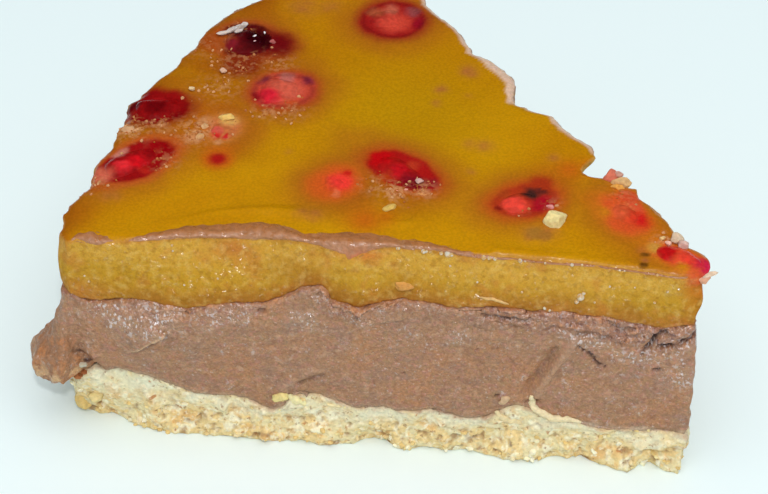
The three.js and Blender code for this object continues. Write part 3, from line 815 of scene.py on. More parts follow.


# Pomegranate arils

# For each aril, sRGB colours: its skin, the ring round it, and blobs at (right, deep, radius) in mm
# from its middle, a few of them painted highlights; "reach" is how far its red shows through the jelly
# past its outline, in mm, and "outline" how much darker its edge is.
arilLooks = {
    "aril_01": {
        "skin": (96, 10, 14), "ring": (164, 72, 26), "reach": 0.4, "outline": 0.2,
        "blobs": [
            (1.6, 0.6, 3.2, (50, 0, 6)), (-4.6, 0.2, 3.0, (160, 78, 30)),
            (-2.4, -1.3, 1.4, (126, 24, 34)), (4.4, -0.6, 1.1, (126, 12, 16)),
        ],
    },
    "aril_02": {
        "skin": (192, 66, 46), "ring": (166, 66, 24), "reach": 0.1, "outline": 0.35,
        "blobs": [
            (0.4, 0.2, 3.4, (204, 88, 66)), (3.6, 2.8, 1.6, (134, 38, 56)),
            (-3.4, 2.4, 1.6, (142, 46, 56)), (-2.0, -1.6, 2.3, (208, 28, 46)),
            # the grey-pink blob at its top is a painted highlight
            (-4.0, -1.8, 1.5, (158, 24, 30)), (0.2, 3.4, 1.6, (184, 98, 88)),
            (1.8, -3.6, 1.6, (196, 76, 34)),
        ],
    },
    "aril_03": {
        "skin": (140, 6, 8), "ring": (140, 52, 18), "reach": 0.2, "outline": 0.2,
        "blobs": [
            # the lighter blob at its top is a faint painted highlight
            (-0.3, 0.2, 2.2, (106, 0, 4)), (-0.4, 2.4, 1.6, (152, 14, 16)), (-3.9, 1.0, 1.4, (96, 6, 14)),
            (3.0, -1.2, 1.0, (128, 4, 8)),
        ],
    },
    "aril_04": {
        "skin": (150, 12, 14), "ring": (182, 82, 30), "reach": 0.3, "outline": 0.1,
        "blobs": [
            (3.0, 3.2, 3.0, (146, 2, 8)), (0.2, 0.0, 1.8, (200, 8, 20)), (-1.5, -1.4, 1.5, (216, 38, 44)),
            # the grey-pink blob at its upper left is a painted highlight
            (-2.6, 1.9, 1.5, (196, 122, 106)), (-4.6, -3.4, 2.6, (208, 98, 74)),
            (1.8, -1.8, 1.2, (176, 30, 20)),
        ],
    },
    "aril_05": {
        "skin": (192, 106, 56), "ring": (180, 108, 34), "reach": -0.5, "outline": 0.0,
        "blobs": [
            (0.8, 2.2, 2.4, (210, 160, 88)), (-0.9, -1.0, 0.9, (202, 84, 66)),
            (-0.9, -1.9, 0.7, (196, 30, 26)), (0.4, -2.2, 0.6, (188, 30, 26)),
        ],
    },
    "aril_06": {
        "skin": (156, 26, 22), "ring": (150, 56, 20), "reach": 0.1, "outline": 0.3,
        "blobs": [
            (0.2, -0.6, 3.2, (202, 66, 48)), (-3.0, 1.8, 1.8, (166, 74, 44)),
            (4.0, -0.4, 1.7, (142, 12, 30)), (3.0, 2.6, 1.8, (146, 66, 66)),
            (-0.6, 2.6, 1.6, (184, 88, 66)),
        ],
    },
    "aril_07": {
        "skin": (196, 84, 24), "ring": (186, 92, 20), "reach": -0.2, "outline": 0.0,
        "blobs": [
            (0.6, 0.2, 3.0, (208, 70, 32)), (0.6, 0.3, 2.1, (230, 56, 44)),
            (1.5, 2.2, 0.8, (192, 28, 20)), (0.4, -2.4, 0.9, (210, 104, 60)),
        ],
    },
    "aril_08": {
        "skin": (166, 20, 16), "ring": (172, 78, 20), "reach": 0.3, "outline": 0.1,
        "blobs": [
            (-3.4, 2.4, 2.4, (188, 4, 10)), (-0.2, 0.0, 1.8, (186, 12, 22)),
            (1.8, -2.6, 2.4, (118, 4, 24)), (4.4, -2.4, 1.5, (144, 30, 34)),
            (1.6, 1.6, 1.3, (180, 50, 26)), (-2.4, -1.6, 1.4, (182, 60, 20)),
        ],
    },
    "aril_09": {
        "skin": (172, 52, 20), "ring": (178, 78, 20), "reach": 0.2, "outline": 0.1,
        "blobs": [
            (-1.4, -0.9, 2.2, (226, 66, 50)), (2.6, -0.3, 2.4, (162, 10, 30)),
            (0.7, 1.9, 1.7, (64, 32, 28)), (2.4, 2.6, 1.3, (96, 34, 26)),
            (-3.5, -1.9, 0.7, (134, 30, 16)), (-3.2, 1.6, 1.4, (164, 60, 20)),
        ],
    },
    "aril_10": {
        "skin": (204, 80, 32), "ring": (190, 104, 20), "reach": 0.2, "outline": 0.0,
        "blobs": [
            (2.0, 0.2, 3.0, (202, 56, 28)), (3.4, -0.9, 2.1, (200, 26, 22)),
            (-3.8, 0.2, 2.4, (190, 112, 18)), (-0.6, 0.8, 1.8, (208, 84, 44)),
            (0.8, 2.4, 1.2, (204, 104, 60)),
        ],
    },
    "aril_11": {
        "skin": (212, 76, 36), "ring": (196, 112, 22), "reach": -0.2, "outline": 0.0,
        "blobs": [
            (-2.0, 0.7, 2.0, (184, 12, 14)), (1.0, -0.2, 1.8, (216, 60, 40)),
            (3.6, -1.0, 2.3, (198, 22, 58)), (0.2, -2.6, 1.4, (196, 124, 16)),
            (-3.4, -1.6, 1.4, (192, 122, 16)),
        ],
    },
}
arilSettings = {"subdivisions": 3, "ringWidth": 2.0}


class Aril:
    # an aril's middle, axes and half sizes, measured on its CAD node
    def __init__(self, node):
        self.node = node
        self.look = arilLooks[node]
        self.mesh = mergedCopy(node)
        points = meshPoints(self.mesh)
        low, high = points.min(axis=0), points.max(axis=0)
        self.middle = (low + high) / 2.0
        flat = points[:, :2] - self.middle[:2]
        _, _, axes = np.linalg.svd(flat, full_matrices=False)
        self.axes = np.array([[*axes[0], 0.0], [*axes[1], 0.0], [0.0, 0.0, 1.0]])
        spread = (points - self.middle) @ self.axes.T
        self.half = (spread.max(axis=0) - spread.min(axis=0)) / 2.0 / mm

    def inside(self, points):
        return (points - self.middle) @ self.axes.T / mm

    def distance(self, points):
        # in mm out from the outline seen from above, roughly; negative inside
        share = np.linalg.norm((self.inside(points) / self.half)[:, :2], axis=1)
        return (share - 1.0) * self.half[1]

    def colours(self, points):
        # the aril's colours at these points, seen from above
        place = points / mm
        warp = np.stack([noise(place, 1.9, 91), noise(place, 1.9, 92)], axis=1)
        warp += 0.5 * np.stack([noise(place, 0.8, 93), noise(place, 0.8, 94)], axis=1)
        offset = (points - self.middle)[:, :2] / mm + 0.5 * warp
        skin = colourArray(*self.look["skin"])
        colours = np.tile(skin, (len(points), 1))
        for right, deep, radius, colour in self.look["blobs"]:
            away = np.hypot(offset[:, 0] - right, offset[:, 1] - deep) / radius
            blend(colours, colourArray(*colour), fall(away, 0.35, 1.15))
        edge = hill(self.distance(points) + 0.3 * warp[:, 0], self.look["reach"] - 0.35, 0.45)
        return colours * (1.0 - self.look["outline"] * edge)[:, None]


arils = [Aril(name) for name in sorted(arilLooks)]
print(f"{len(arils)} arils measured")


def makeAril(aril, material, index):
    def addSubdivision(work):
        smooth = work.modifiers.new("smooth", "SUBSURF")
        smooth.levels = smooth.render_levels = arilSettings["subdivisions"]

    mesh = evaluated(aril.mesh.copy(), addSubdivision)
    points = meshPoints(mesh)
    normals = meshNormals(mesh)
    inside = aril.inside(points)
    dents = 0.16 * noise(inside + 7.0 * index, 2.6, 81)
    dents += 0.1 * np.abs(noise(inside + 3.0 * index, 1.2, 82))
    push(points, normals, dents)
    stepRim(points, Place(points))
    setPoints(mesh, points)
    setColours(mesh, "flesh", aril.colours(points))
    return addPiece("arilFlesh" + aril.node[-2:], mesh, material, [aril.node])


def arilMaterial():
    look = Look("arilLook", (150, 25, 25), 0.24, 0.45)
    look.mix(look.field("flesh", "Color"), 1.0)
    look.shade(look.noise(0.8, 3.0), 0.84, 1.14)
    look.glow(0.2, 0.5, (1.0, 0.2, 0.12))
    look.bump(look.noise(0.8, 3.0), 0.09)
    return look.done()


# Fruit jelly

jelly = {
    "voxel": 0.38,
    "pocketRounds": 60,  # rounds of smoothing over the closed pockets
    "pocketEase": 0.45,  # how far the fillings reach past the arils
    # the top's and the cut faces' colours, in sRGB
    "tones": {
        "amber": (194, 138, 0), "deepAmber": (178, 116, 0), "brownAmber": (158, 88, 6),
        "middle": (172, 128, 0), "halo": (158, 82, 18), "smudge": (164, 94, 46),
        "orange": (188, 92, 12), "sunkRed": (162, 20, 16), "pulp": (198, 138, 92),
        "strip": (214, 180, 156), "stripEdge": (124, 76, 56),
        "cut": (186, 140, 33), "cutTop": (203, 154, 57), "cutLow": (158, 100, 30),
        "cutWarm": (182, 112, 44), "cutOrange": (204, 112, 48), "seam": (190, 120, 62),
    },
    # size and seed of the noise that varies them: wide, middling and fine
    "tints": [(13.0, 70), (4.0, 71), (1.3, 72)],
    # flecks in the cut faces: olive ones, and pale ones that are partly grain and partly painted sparkle
    "olive": (146, 98, 18), "pale": (228, 194, 112),
    # grains of pulp on the top
    "grainLight": (206, 150, 102), "grainDark": (142, 76, 24), "speck": (134, 84, 16),
    # brown smudges on the top: along, deep, radius, strength
    "smudges": [
        (57.2, 8.3, 1.2, 0.8), (55.4, 8.4, 1.2, 0.8), (32.4, 25.8, 1.2, 0.7), (34.4, 26.0, 1.0, 0.6),
        (40.2, 38.2, 0.9, 0.9), (36.0, 43.0, 1.3, 0.9), (26.0, 17.0, 0.8, 0.4), (24.6, 7.4, 1.5, 0.75),
        (22.6, 7.8, 1.6, 0.85), (36.8, 53.3, 0.8, 0.3), (84.7, 9.2, 1.2, 0.6), (62.6, 56.4, 2.2, 0.6),
        (59.0, 56.8, 1.6, 0.5), (22.6, 24.0, 1.0, 0.6), (40.6, 35.0, 0.7, 0.6), (36.0, 37.0, 0.6, 0.5),
        (34.2, 19.8, 0.7, 0.5), (9.0, 5.6, 0.7, 1.0), (8.6, 3.6, 0.5, 1.0), (61.0, 21.6, 0.6, 0.3),
    ],
    # orange places where something red lies deeper: along, deep, radius, strength
    "glows": [
        (48.2, 8.0, 2.6, 1.0), (45.6, 8.6, 1.8, 0.7), (70.9, 21.0, 2.4, 0.7), (20.0, 21.6, 2.2, 1.0),
        (17.0, 22.4, 2.0, 1.0), (12.6, 18.6, 1.8, 0.7), (8.0, 9.4, 3.2, 0.6), (74.4, 27.4, 4.6, 0.45),
        (17.0, 15.6, 2.0, 0.4), (22.4, 19.0, 3.4, 0.5),
    ],
    # places outside the arils with a colour of their own, mostly flesh under the jelly:
    # along, deep, radius, colour
    "patches": [
        (70.4, 41.4, 3.8, (128, 40, 12)), (75.6, 46.4, 3.0, (160, 72, 20)),
        (65.8, 46.2, 4.2, (150, 60, 20)), (66.2, 46.5, 3.5, (108, 8, 12)),
        (82.6, 32.4, 2.4, (138, 8, 10)), (79.6, 32.2, 2.0, (142, 10, 10)),
        (1.4, 1.2, 1.6, (200, 84, 40)), (0.4, 3.8, 1.7, (196, 30, 66)),
        (11.2, 16.8, 2.0, (202, 72, 38)), (10.6, 14.4, 1.6, (206, 76, 44)),
        (24.0, 18.0, 2.2, (160, 48, 18)), (7.4, 6.4, 1.3, (190, 134, 50)),
        (8.9, 4.8, 0.5, (112, 66, 14)), (8.4, 4.8, 0.5, (112, 66, 14)),
        (9.1, 2.4, 0.5, (98, 58, 10)), (8.6, 2.4, 0.5, (98, 58, 10)),
        (24.2, 7.6, 1.4, (160, 108, 36)), (22.8, 7.2, 1.1, (158, 104, 36)),
    ],
    # browner jelly among the arils by the rim
    "browns": [
        (75.0, 40.0, 6.0, 1.0), (73.0, 32.0, 6.0, 0.8), (80.0, 24.0, 5.0, 0.9), (88.0, 16.0, 5.0, 0.9),
        (70.0, 52.0, 5.0, 0.9), (76.0, 50.0, 5.0, 1.0), (89.0, 6.0, 3.5, 0.4), (62.0, 44.0, 4.0, 0.5),
        (66.5, 41.4, 4.6, 1.0), (71.0, 23.0, 5.6, 0.9), (50.0, 12.6, 5.0, 0.8), (44.0, 12.4, 4.0, 0.8),
        (62.0, 30.0, 3.6, 0.6), (22.4, 19.0, 3.0, 0.5),
    ],
    # beige pulp on the top: along, deep, radius, strength
    "pulp": [
        (85.4, 24.4, 1.6, 0.9), (83.6, 24.6, 1.3, 0.8), (74.8, 23.8, 2.0, 0.8), (73.8, 26.8, 1.8, 0.8),
        (69.6, 42.2, 1.6, 0.3), (66.0, 41.8, 1.3, 0.4), (72.9, 42.6, 1.2, 0.3), (71.2, 23.0, 0.9, 0.6),
        (78.6, 17.4, 1.4, 0.35), (80.2, 25.8, 1.2, 0.6), (73.0, 35.6, 1.2, 0.5), (40.4, 14.4, 1.3, 0.8),
        (44.6, 14.0, 1.2, 0.5), (47.4, 15.4, 1.4, 0.4), (64.6, 30.2, 1.3, 0.5), (61.0, 30.6, 1.4, 0.4),
        (87.6, 12.6, 1.1, 0.5), (5.6, 8.2, 1.2, 0.6),
    ],
    "sunkAril": (70.8, 19.0, 0.7),
    "drip": (13.9, 20.2, 3.6),
    # how far the back cut bulges, from the tip outward
    "backBulge": [
        (0, 0.0), (1, 0.4), (2.2, 1.9), (3.6, 2.0), (5, 1.6), (7, 1.4), (10, 0.6), (12, 0.9), (14, 1.3),
        (18, 1.3), (19.7, 1.0), (21.5, 1.9), (23, 1.2), (26, 0.2), (27.4, -1.4), (29, -1.3), (30.2, 1.1),
        (32, 1.3), (35, 0.7), (39, 0.6), (41, 1.5), (43, 0.9), (46, 0.3), (49, 0.3), (51, 1.0), (57, 1.1),
        (59.5, 0.4), (62, 0.9), (72, 1.2), (90, 1.0),
    ],
    # how far the rim's upper edge steps out or in, by the way round it in mm
    "rimSteps": [
        (3, 0.0), (6, -0.3), (10, -0.6), (13, -0.7), (16, -0.2), (18, 0.0), (21, -0.9), (25, -0.4),
        (29.5, -0.8), (31.5, 0.1), (34.5, -0.8), (38, -0.4), (41.5, -0.7), (44, -0.2), (47, -0.7),
        (52, 0.0), (56, -0.4),
    ],
    # where along the front cut the blunt tip starts, by height, and how much of that goes further back
    "tipStart": [(29.0, 1.3), (30.6, 1.1), (32.4, 0.75), (36.8, 0.75), (37.6, 0.3)],
    "tipStartLess": [(0.0, 0.0), (3.7, 0.8), (8.0, 0.3), (12.0, 3.0)],
    # pale strips of mousse smeared along the back edge: from and to along that edge, width, strength
    "strips": [(46.5, 76.0, 2.1, 1.0), (31.0, 43.0, 1.3, 0.9)],
}


def stepRim(points, place):
    step = ramp(place.turn, jelly["rimSteps"]) * rise(place.up, 31.0, 35.0)
    step *= rise(place.radius, 85.0, 88.5)
    push(points, place.awayFromTip, step)


def jellyFillings():
    # what closes the arils' pockets, so that the jelly meets their flanks
    fillings = []
    for aril in arils:
        filling = aril.mesh.copy()
        points = meshPoints(filling)
        points = aril.middle + aril.inside(points) * (1.0 + jelly["pocketEase"] / aril.half) @ aril.axes * mm
        points[:, 2] = np.minimum(points[:, 2], (slicePlan["height"] - 0.3) * mm)
        setPoints(filling, points)
        fillings.append(filling)
    return fillings


def flattenJelly(points, edges):
    # smooth over the closed pockets and press down the crumbs, which are a piece of their own
    place = Place(points)
    height = slicePlan["height"]
    bumpy = np.zeros(len(points))
    for aril in arils:
        bumpy = np.maximum(bumpy, fall(aril.distance(points), 0.8, 2.0))
    for along, deep, size in crumbs["fused"]:
        near = place.fromSpot(along, deep)
        bumpy = np.maximum(bumpy, fall(near, size, 1.5 * size))
        tooHigh = (near < 1.6 * size) & (place.up > height + 0.1) & (place.fromBack > -1.0)
        points[tooHigh, 2] = (height + 0.1) * mm
    bumpy *= (place.up > height - 1.6) & (place.deep > 2.0)
    # under the smear along the front edge, which is a piece of its own, the top runs flat
    smeared = (place.along > 30.0) & (place.along < 84.0) & (place.deep < 9.5)
    highest = height + 0.1 + 0.6 * rise(place.deep, 6.5, 9.5)
    points[smeared, 2] = np.minimum(points[smeared, 2], highest[smeared] * mm)
    along, deep, radius = jelly["drip"]
    inDrip = place.fromSpot(along, deep) < radius
    inDrip &= place.fromBack < 0.2
    points[inDrip, 2] = np.minimum(points[inDrip, 2], (height - 0.6) * mm)
    return relax(points, edges, bumpy, jelly["pocketRounds"])


def jellyRelief(place, normals):
    # how far the surface stands out, in mm: ripples on the top, scallops and streaks on the sides
    isTop = rise(normals[:, 2], 0.5, 0.9)
    upright = fall(np.abs(normals[:, 2]), 0.4, 0.8)
    # the ring's wrapper left fine scallops round the rim
    onRim = rise(place.radius, slicePlan["radius"] - 4.0, slicePlan["radius"] - 2.0)
    flat = np.zeros(len(normals))
    arc = np.stack([place.turn, flat, 0.25 * place.up], axis=1)
    sides = onRim * (0.6 * np.abs(noise(arc, 3.0, 61)) - 0.18 + 0.42 * noise(arc, 1.5, 62))
    onBack = fall(place.fromBack, 0.5, 2.5) * (1.0 - onRim)
    back = np.stack([place.alongBack, flat, 0.3 * place.up], axis=1)
    sides += onBack * waves(back, (2.2, 0.36, 67), (1.1, 0.24, 68))
    streaks = 0.12 * noise(place.points * [1.0, 1.0, 0.5], 1.6, 65) + 0.06 * noise(place.points, 0.9, 66)
    sides += (1.0 - onRim) * streaks
    ripples = waves(place.points, (3.2, 0.05, 63), (1.1, 0.02, 64))
    pulpy = spots(place, jelly["pulp"])
    pulpy = np.maximum(pulpy, 0.6 * spots(place, crumbs["frost"]))
    ripples += pulpy * (0.3 * np.abs(noise(place.points, 1.5, 69)) + 0.1 * noise(place.points, 0.8, 60))
    return upright * sides + isTop * ripples


def bulgeJelly(points, place):
    # above the seam the jelly bulges over the rim and the back cut
    high = rise(place.up, 30.0, 35.0)
    overRim = 0.85 * high * rise(place.radius, slicePlan["radius"] - 4.0, slicePlan["radius"] - 1.0)
    push(points, place.awayFromTip, overRim * rise(place.turn, 4.0, 8.0))
    stepRim(points, place)
    overBack = ramp(place.alongBack, jelly["backBulge"])
    # a thin flap hangs over the notch, and under it the cut runs further in
    notch = rise(place.alongBack, 27.0, 28.0) * fall(place.alongBack, 32.6, 34.4)
    under = notch * fall(place.up, 36.0, 36.9)
    overBack += (np.minimum(overBack, -1.4) - overBack) * under
    overBack *= high * fall(place.fromBack, 0.5, 3.0)
    push(points, place.awayFromBack, overBack)


def bluntJellyTip(points):
    place = Place(points)
    points[:, 0] += 0.5 * hill(place.up, 33.6, 1.6) * hill(place.radius, 0.0, 3.0) * mm
    start = ramp(place.up, jelly["tipStart"])
    start -= rise(place.up, 36.0, 37.5) * ramp(place.deep, jelly["tipStartLess"])
    beyond = np.maximum(start - place.along, 0.0) * (place.deep < 9.0)
    points[:, 0] -= 0.9 * beyond * mm


def makeJellyMesh():
    mesh = remeshed(joined([mergedCopy("fruit_jelly"), *jellyFillings()]), jelly["voxel"])
    edges = meshEdges(mesh)
    points = relax(meshPoints(mesh), edges, np.ones(len(mesh.vertices)), 2)
    points = flattenJelly(points, edges)
    setPoints(mesh, points)
    place = Place(points)
    normals = meshNormals(mesh)
    push(points, normals, jellyRelief(place, normals))
    points[:, 2] += seamShift(place) * mm
    bulgeJelly(points, place)
    sharpenTip(points, place)
    bluntJellyTip(points)
    setPoints(mesh, points)
    return mesh


def backEdge(place, among):
    # where the back cut's top edge lies, in mm across that cut, at each point's place along it
    bins = np.round(place.alongBack).astype(int)
    middles = np.arange(0, int(slicePlan["radius"]) + 2)
    edge = np.zeros(len(middles))
    for index in middles:
        chosen = among & (bins == index)
        edge[index] = place.fromBack[chosen].min() if chosen.any() else 0.0
    return np.interp(place.alongBack, middles, edge)


def paintTop(colours, place, tone, wide, mid, fine, nearAril):
    blend(colours, tone["deepAmber"], 0.4 + 0.5 * wide + 0.25 * mid)
    blend(colours, tone["deepAmber"], 0.85 * rise(place.deep, 22.0, 58.0))
    blend(colours, tone["middle"], 0.7 * hill(place.fromSpot(44.0, 32.0), 0.0, 14.0))
    blend(colours, tone["brownAmber"], spots(place, jelly["browns"]) * (0.8 + 0.5 * mid))
    blend(colours, tone["halo"], 0.72 * fall(nearAril + 1.2 * mid, 0.0, 6.4))
    blend(colours, tone["brownAmber"], 0.85 * rise(place.radius, 84.5, 89.5) * (0.8 + 0.6 * mid))
    blend(colours, tone["orange"], 0.85 * spots(place, jelly["glows"]))
    smudges = spots(place, jelly["smudges"], 0.5 * mid, 0.5 * fine)
    blend(colours, tone["smudge"], smudges * (0.9 + 0.5 * fine))


def paintFlesh(colours, points, place, tone, mid, fine, nearAril):
    # the red of each aril shows through the jelly over its flanks and dies away in orange
    wavy = 0.3 * mid + 0.22 * fine
    for aril in arils:
        distance = aril.distance(points) + wavy
        reach = aril.look["reach"]
        ring = fall(distance, reach, reach + arilSettings["ringWidth"])
        soft = 0.5 if aril.look["outline"] > 0.0 else 1.1
        red = fall(distance, reach - 0.7 * soft, reach + soft)
        near = (place.up > 31.0) & (distance < 5.0)
        blend(colours, colourArray(*aril.look["ring"]), 0.9 * ring * near)
        colours += (aril.colours(points) - colours) * (red * near)[:, None]
    outside = (nearAril > -0.4) * rise(place.up, 35.5, 36.8)
    for along, deep, radius, colour in jelly["patches"]:
        away = place.fromSpot(along, deep) / radius + 0.1 * fine
        blend(colours, colourArray(*colour), fall(away, 0.4, 1.3) * outside)
    along, deep, radius = jelly["sunkAril"]
    sunk = place.fromSpot(along, deep) - radius + 0.6 * wavy
    blend(colours, tone["orange"], 0.9 * fall(sunk, 0.6, 2.6))
    blend(colours, tone["sunkRed"], fall(sunk, -0.2, 1.3))
    pulp = spots(place, jelly["pulp"], 0.4 * mid, 0.4 * fine)
    blend(colours, tone["pulp"], 0.75 * rise(pulp * (1.0 + 0.8 * fine), 0.25, 0.8))


def cutColours(place, tone, mid, fine):
    # the cut faces are paler, with a darker edge above and olive brown towards the seam
    face = np.tile(tone["cut"], (len(place.up), 1))
    overSeam = place.up - jellySeam.at(place.along, place.deep) - seamDrift(place, "jelly")
    blend(face, tone["cutTop"], 0.8 * rise(place.up + 0.6 * mid, 32.0, 36.0))
    blend(face, tone["cutWarm"], 0.5 * rise(place.up, 36.9, 37.6))
    low = 0.9 * fall(overSeam + 0.8 * mid, 0.4, 4.2)
    low *= 1.0 - 0.5 * rise(place.along, 76.0, 84.0)
    low = np.maximum(low, 0.5 * hill(place.along, 57.0, 5.0) * hill(place.up, 33.0, 3.0))
    blend(face, tone["cutLow"], low)
    blend(face, tone["cutWarm"], 0.5 * rise(mid + 0.6 * fine, 0.1, 0.7))
    byTheRim = hill(place.along, 87.5, 4.0) * hill(place.up, 28.5, 2.6) * (place.deep < 4.0)
    blend(face, tone["cutWarm"], 0.7 * byTheRim)
    blend(face, tone["cutWarm"], 0.9 * hill(place.along, 66.6, 2.6) * hill(place.up, 36.0, 1.6))
    blend(face, tone["cutOrange"], 0.8 * hill(place.along, 48.0, 2.4) * hill(place.up, 36.6, 1.0))
    # a tan line at the foot of the cut faces along the seam: partly the jelly's own colour, partly painted
    # light over the shade in the seam
    blend(face, tone["seam"], fall(overSeam + 0.5 * fine, 0.1, 0.9) * (0.5 + 0.6 * mid))
    return face


def paintBackStrips(colours, place, tone):
    # mousse smeared along the back edge, outlined in brown
    onTop = (place.up > slicePlan["height"] - 1.8) & (place.deep > 4.0)
    inward = place.fromBack - backEdge(place, onTop)
    for start, end, width, strength in jelly["strips"]:
        ends = rise(place.alongBack, start - 0.6, start + 0.6)
        ends = ends * fall(place.alongBack, end, end + 3.0) * strength * onTop
        taper = 0.45 + 0.55 * hill(place.alongBack, start + 6.0, 6.0)
        within = fall(inward - width * taper + 0.3 * noise(place.points, 1.6, 78), -0.2, 0.35)
        blend(colours, tone["strip"], within * ends)
        blend(colours, tone["stripEdge"], 0.9 * fall(inward, 0.1, 0.45) * ends)


def colourJelly(mesh):
    points = meshPoints(mesh)
    isTop = rise(meshNormals(mesh)[:, 2], 0.35, 0.8)
    place = Place(points)
    tone = {name: colourArray(*value) for name, value in jelly["tones"].items()}
    wide, mid, fine = (noise(place.points, size, seed) for size, seed in jelly["tints"])
    nearAril = np.min([aril.distance(points) for aril in arils], axis=0)
    colours = np.tile(tone["amber"], (len(points), 1))
    paintTop(colours, place, tone, wide, mid, fine, nearAril)
    paintFlesh(colours, points, place, tone, mid, fine, nearAril)
    isCut = (1.0 - isTop) * rise(nearAril, 0.3, 1.6)
    colours += (cutColours(place, tone, mid, fine) - colours) * isCut[:, None]
    paintBackStrips(colours, place, tone)
    setColours(mesh, "tint", colours)
    setField(mesh, "cut", 1.0 - isTop)
    frost = np.clip(spots(place, crumbs["frost"]), 0.0, 1.0)
    setField(mesh, "frost", frost * isTop * (place.up > 35.0))


def jellyMaterial():
    look = Look("jellyLook", (188, 124, 0), 0.3, 0.35)
    look.mix(look.field("tint", "Color"), 1.0)
    look.mix(jelly["olive"], "cut", look.clouds(0.9, 3.0, 0.5, 0.66, 0.4))
    # pale flecks on the cut faces: partly grain, partly painted sparkle
    look.mix(jelly["pale"], "cut", look.clouds(1.1, 4.0, 0.44, 0.76, 0.32))
    look.mix(jelly["speck"], "cut", look.clouds(0.4, 2.0, 0.56, 0.7, 0.3))
    look.mix(jelly["grainLight"], "frost", look.clouds(0.9, 4.0, 0.46, 0.6, 0.75))
    look.mix(jelly["grainDark"], "frost", look.clouds(0.6, 3.0, 0.54, 0.64, 0.7))
    look.shade(look.noise(0.4, 3.0), 0.9, 1.1)
    # on the cut faces only small wet spots glint, in loose clusters
    clusters = look.times(look.noise(0.5, 2.0), look.clouds(4.0, 2.0, 0.42, 0.6, 1.02, 0.88))
    glint = look.times("cut", look.range(clusters, 0.61, 0.67))
    dull = look.times("cut", 0.3)
    look.feed("Roughness", look.range(look.plus(dull, look.times(glint, -0.34)), -0.04, 0.3, 0.2, 0.62))
    shine = look.plus(look.range("cut", 0.0, 1.0, 0.24, 0.08), look.times(glint, 0.6))
    look.feed("Specular IOR Level", shine)
    look.glow(0.15, 0.5, (1.0, 0.5, 0.1))
    look.bump(look.noise(0.8, 3.0), 0.05)
    look.bump(look.times("cut", look.noise(0.5, 3.0)), 0.12)
    look.bump(look.times("frost", look.noise(0.7, 3.0)), 0.15)
    return look.done()


# Mousse smeared along the jelly's front edge

smear = {
    "step": 0.22,  # mm between rows along the edge
    "across": 18,  # faces across
    "sunk": 0.3,  # how far its lower skin lies inside the jelly
    "brown": (162, 104, 58), "pink": (184, 132, 98), "orange": (196, 104, 50), "amber": (182, 122, 26),
    "edge": (202, 148, 92),
    # strokes: along, reach back over the top, reach down the front, thickness
    "strokes": [
        [(88.9, 0.2, 0.1, 0.03), (88.0, 1.5, 0.3, 0.12), (86.6, 1.8, 0.9, 0.2), (84.8, 1.6, 1.0, 0.2),
         (83.4, 1.1, 0.3, 0.1), (82.6, 0.3, 0.1, 0.02)],
        [(81.0, 0.3, 0.1, 0.02), (80.0, 0.8, 0.2, 0.12), (78.0, 1.3, 0.2, 0.22), (75.8, 1.8, 0.2, 0.32),
         (73.2, 2.3, 0.3, 0.42), (70.6, 2.4, 0.3, 0.45), (68.0, 2.5, 0.4, 0.5), (65.4, 2.6, 0.6, 0.6),
         (62.8, 3.0, 0.7, 0.75), (60.2, 3.0, 0.2, 0.7), (58.0, 2.5, 0.0, 0.5), (56.3, 1.6, 0.0, 0.3),
         (54.2, 2.0, 0.6, 0.3), (52.1, 2.4, 1.3, 0.35), (50.6, 2.7, 2.0, 0.35), (49.8, 2.8, 2.8, 0.35),
         (48.0, 2.7, 2.0, 0.3), (46.0, 2.4, 0.8, 0.3), (43.8, 2.0, 0.1, 0.22), (42.0, 1.3, 0.2, 0.16),
         (40.6, 0.8, 0.3, 0.05)],
        [(43.6, 1.6, 0.1, 0.06), (41.0, 1.8, -0.1, 0.2), (38.0, 1.6, 0.0, 0.2), (35.0, 1.1, 0.2, 0.16),
         (31.0, 0.5, 0.5, 0.15), (28.0, 0.2, 0.4, 0.08), (24.0, 0.3, 0.5, 0.14), (18.5, 0.25, 0.45, 0.14),
         (12.5, 0.25, 0.4, 0.12), (7.0, 0.25, 0.4, 0.12), (2.6, 0.1, 0.3, 0.04)],
    ],
}


def surfaceOverEdge(tree, along, reach):
    # the jelly's surface at a reach, in mm, back over the top (positive) or down the front (negative)
    edge = tree.ray_cast(fromSlice(along, -8.0, 36.9), intoFront)[0]
    edgeDeep = (edge.y - tipPoint[1]) / mm
    centre = fromSlice(along, edgeDeep + 1.5, slicePlan["height"] - 1.7)
    over = max(reach, 0.0)
    down = max(-reach, 0.0)
    way = Vector((0.0, over - 1.7, 1.7 - down)).normalized()
    hit, normal, _, _ = tree.ray_cast(centre + way * 9.0 * mm, -way)
    return np.array(hit), np.array((normal * 0.7 + way * 0.3).normalized())


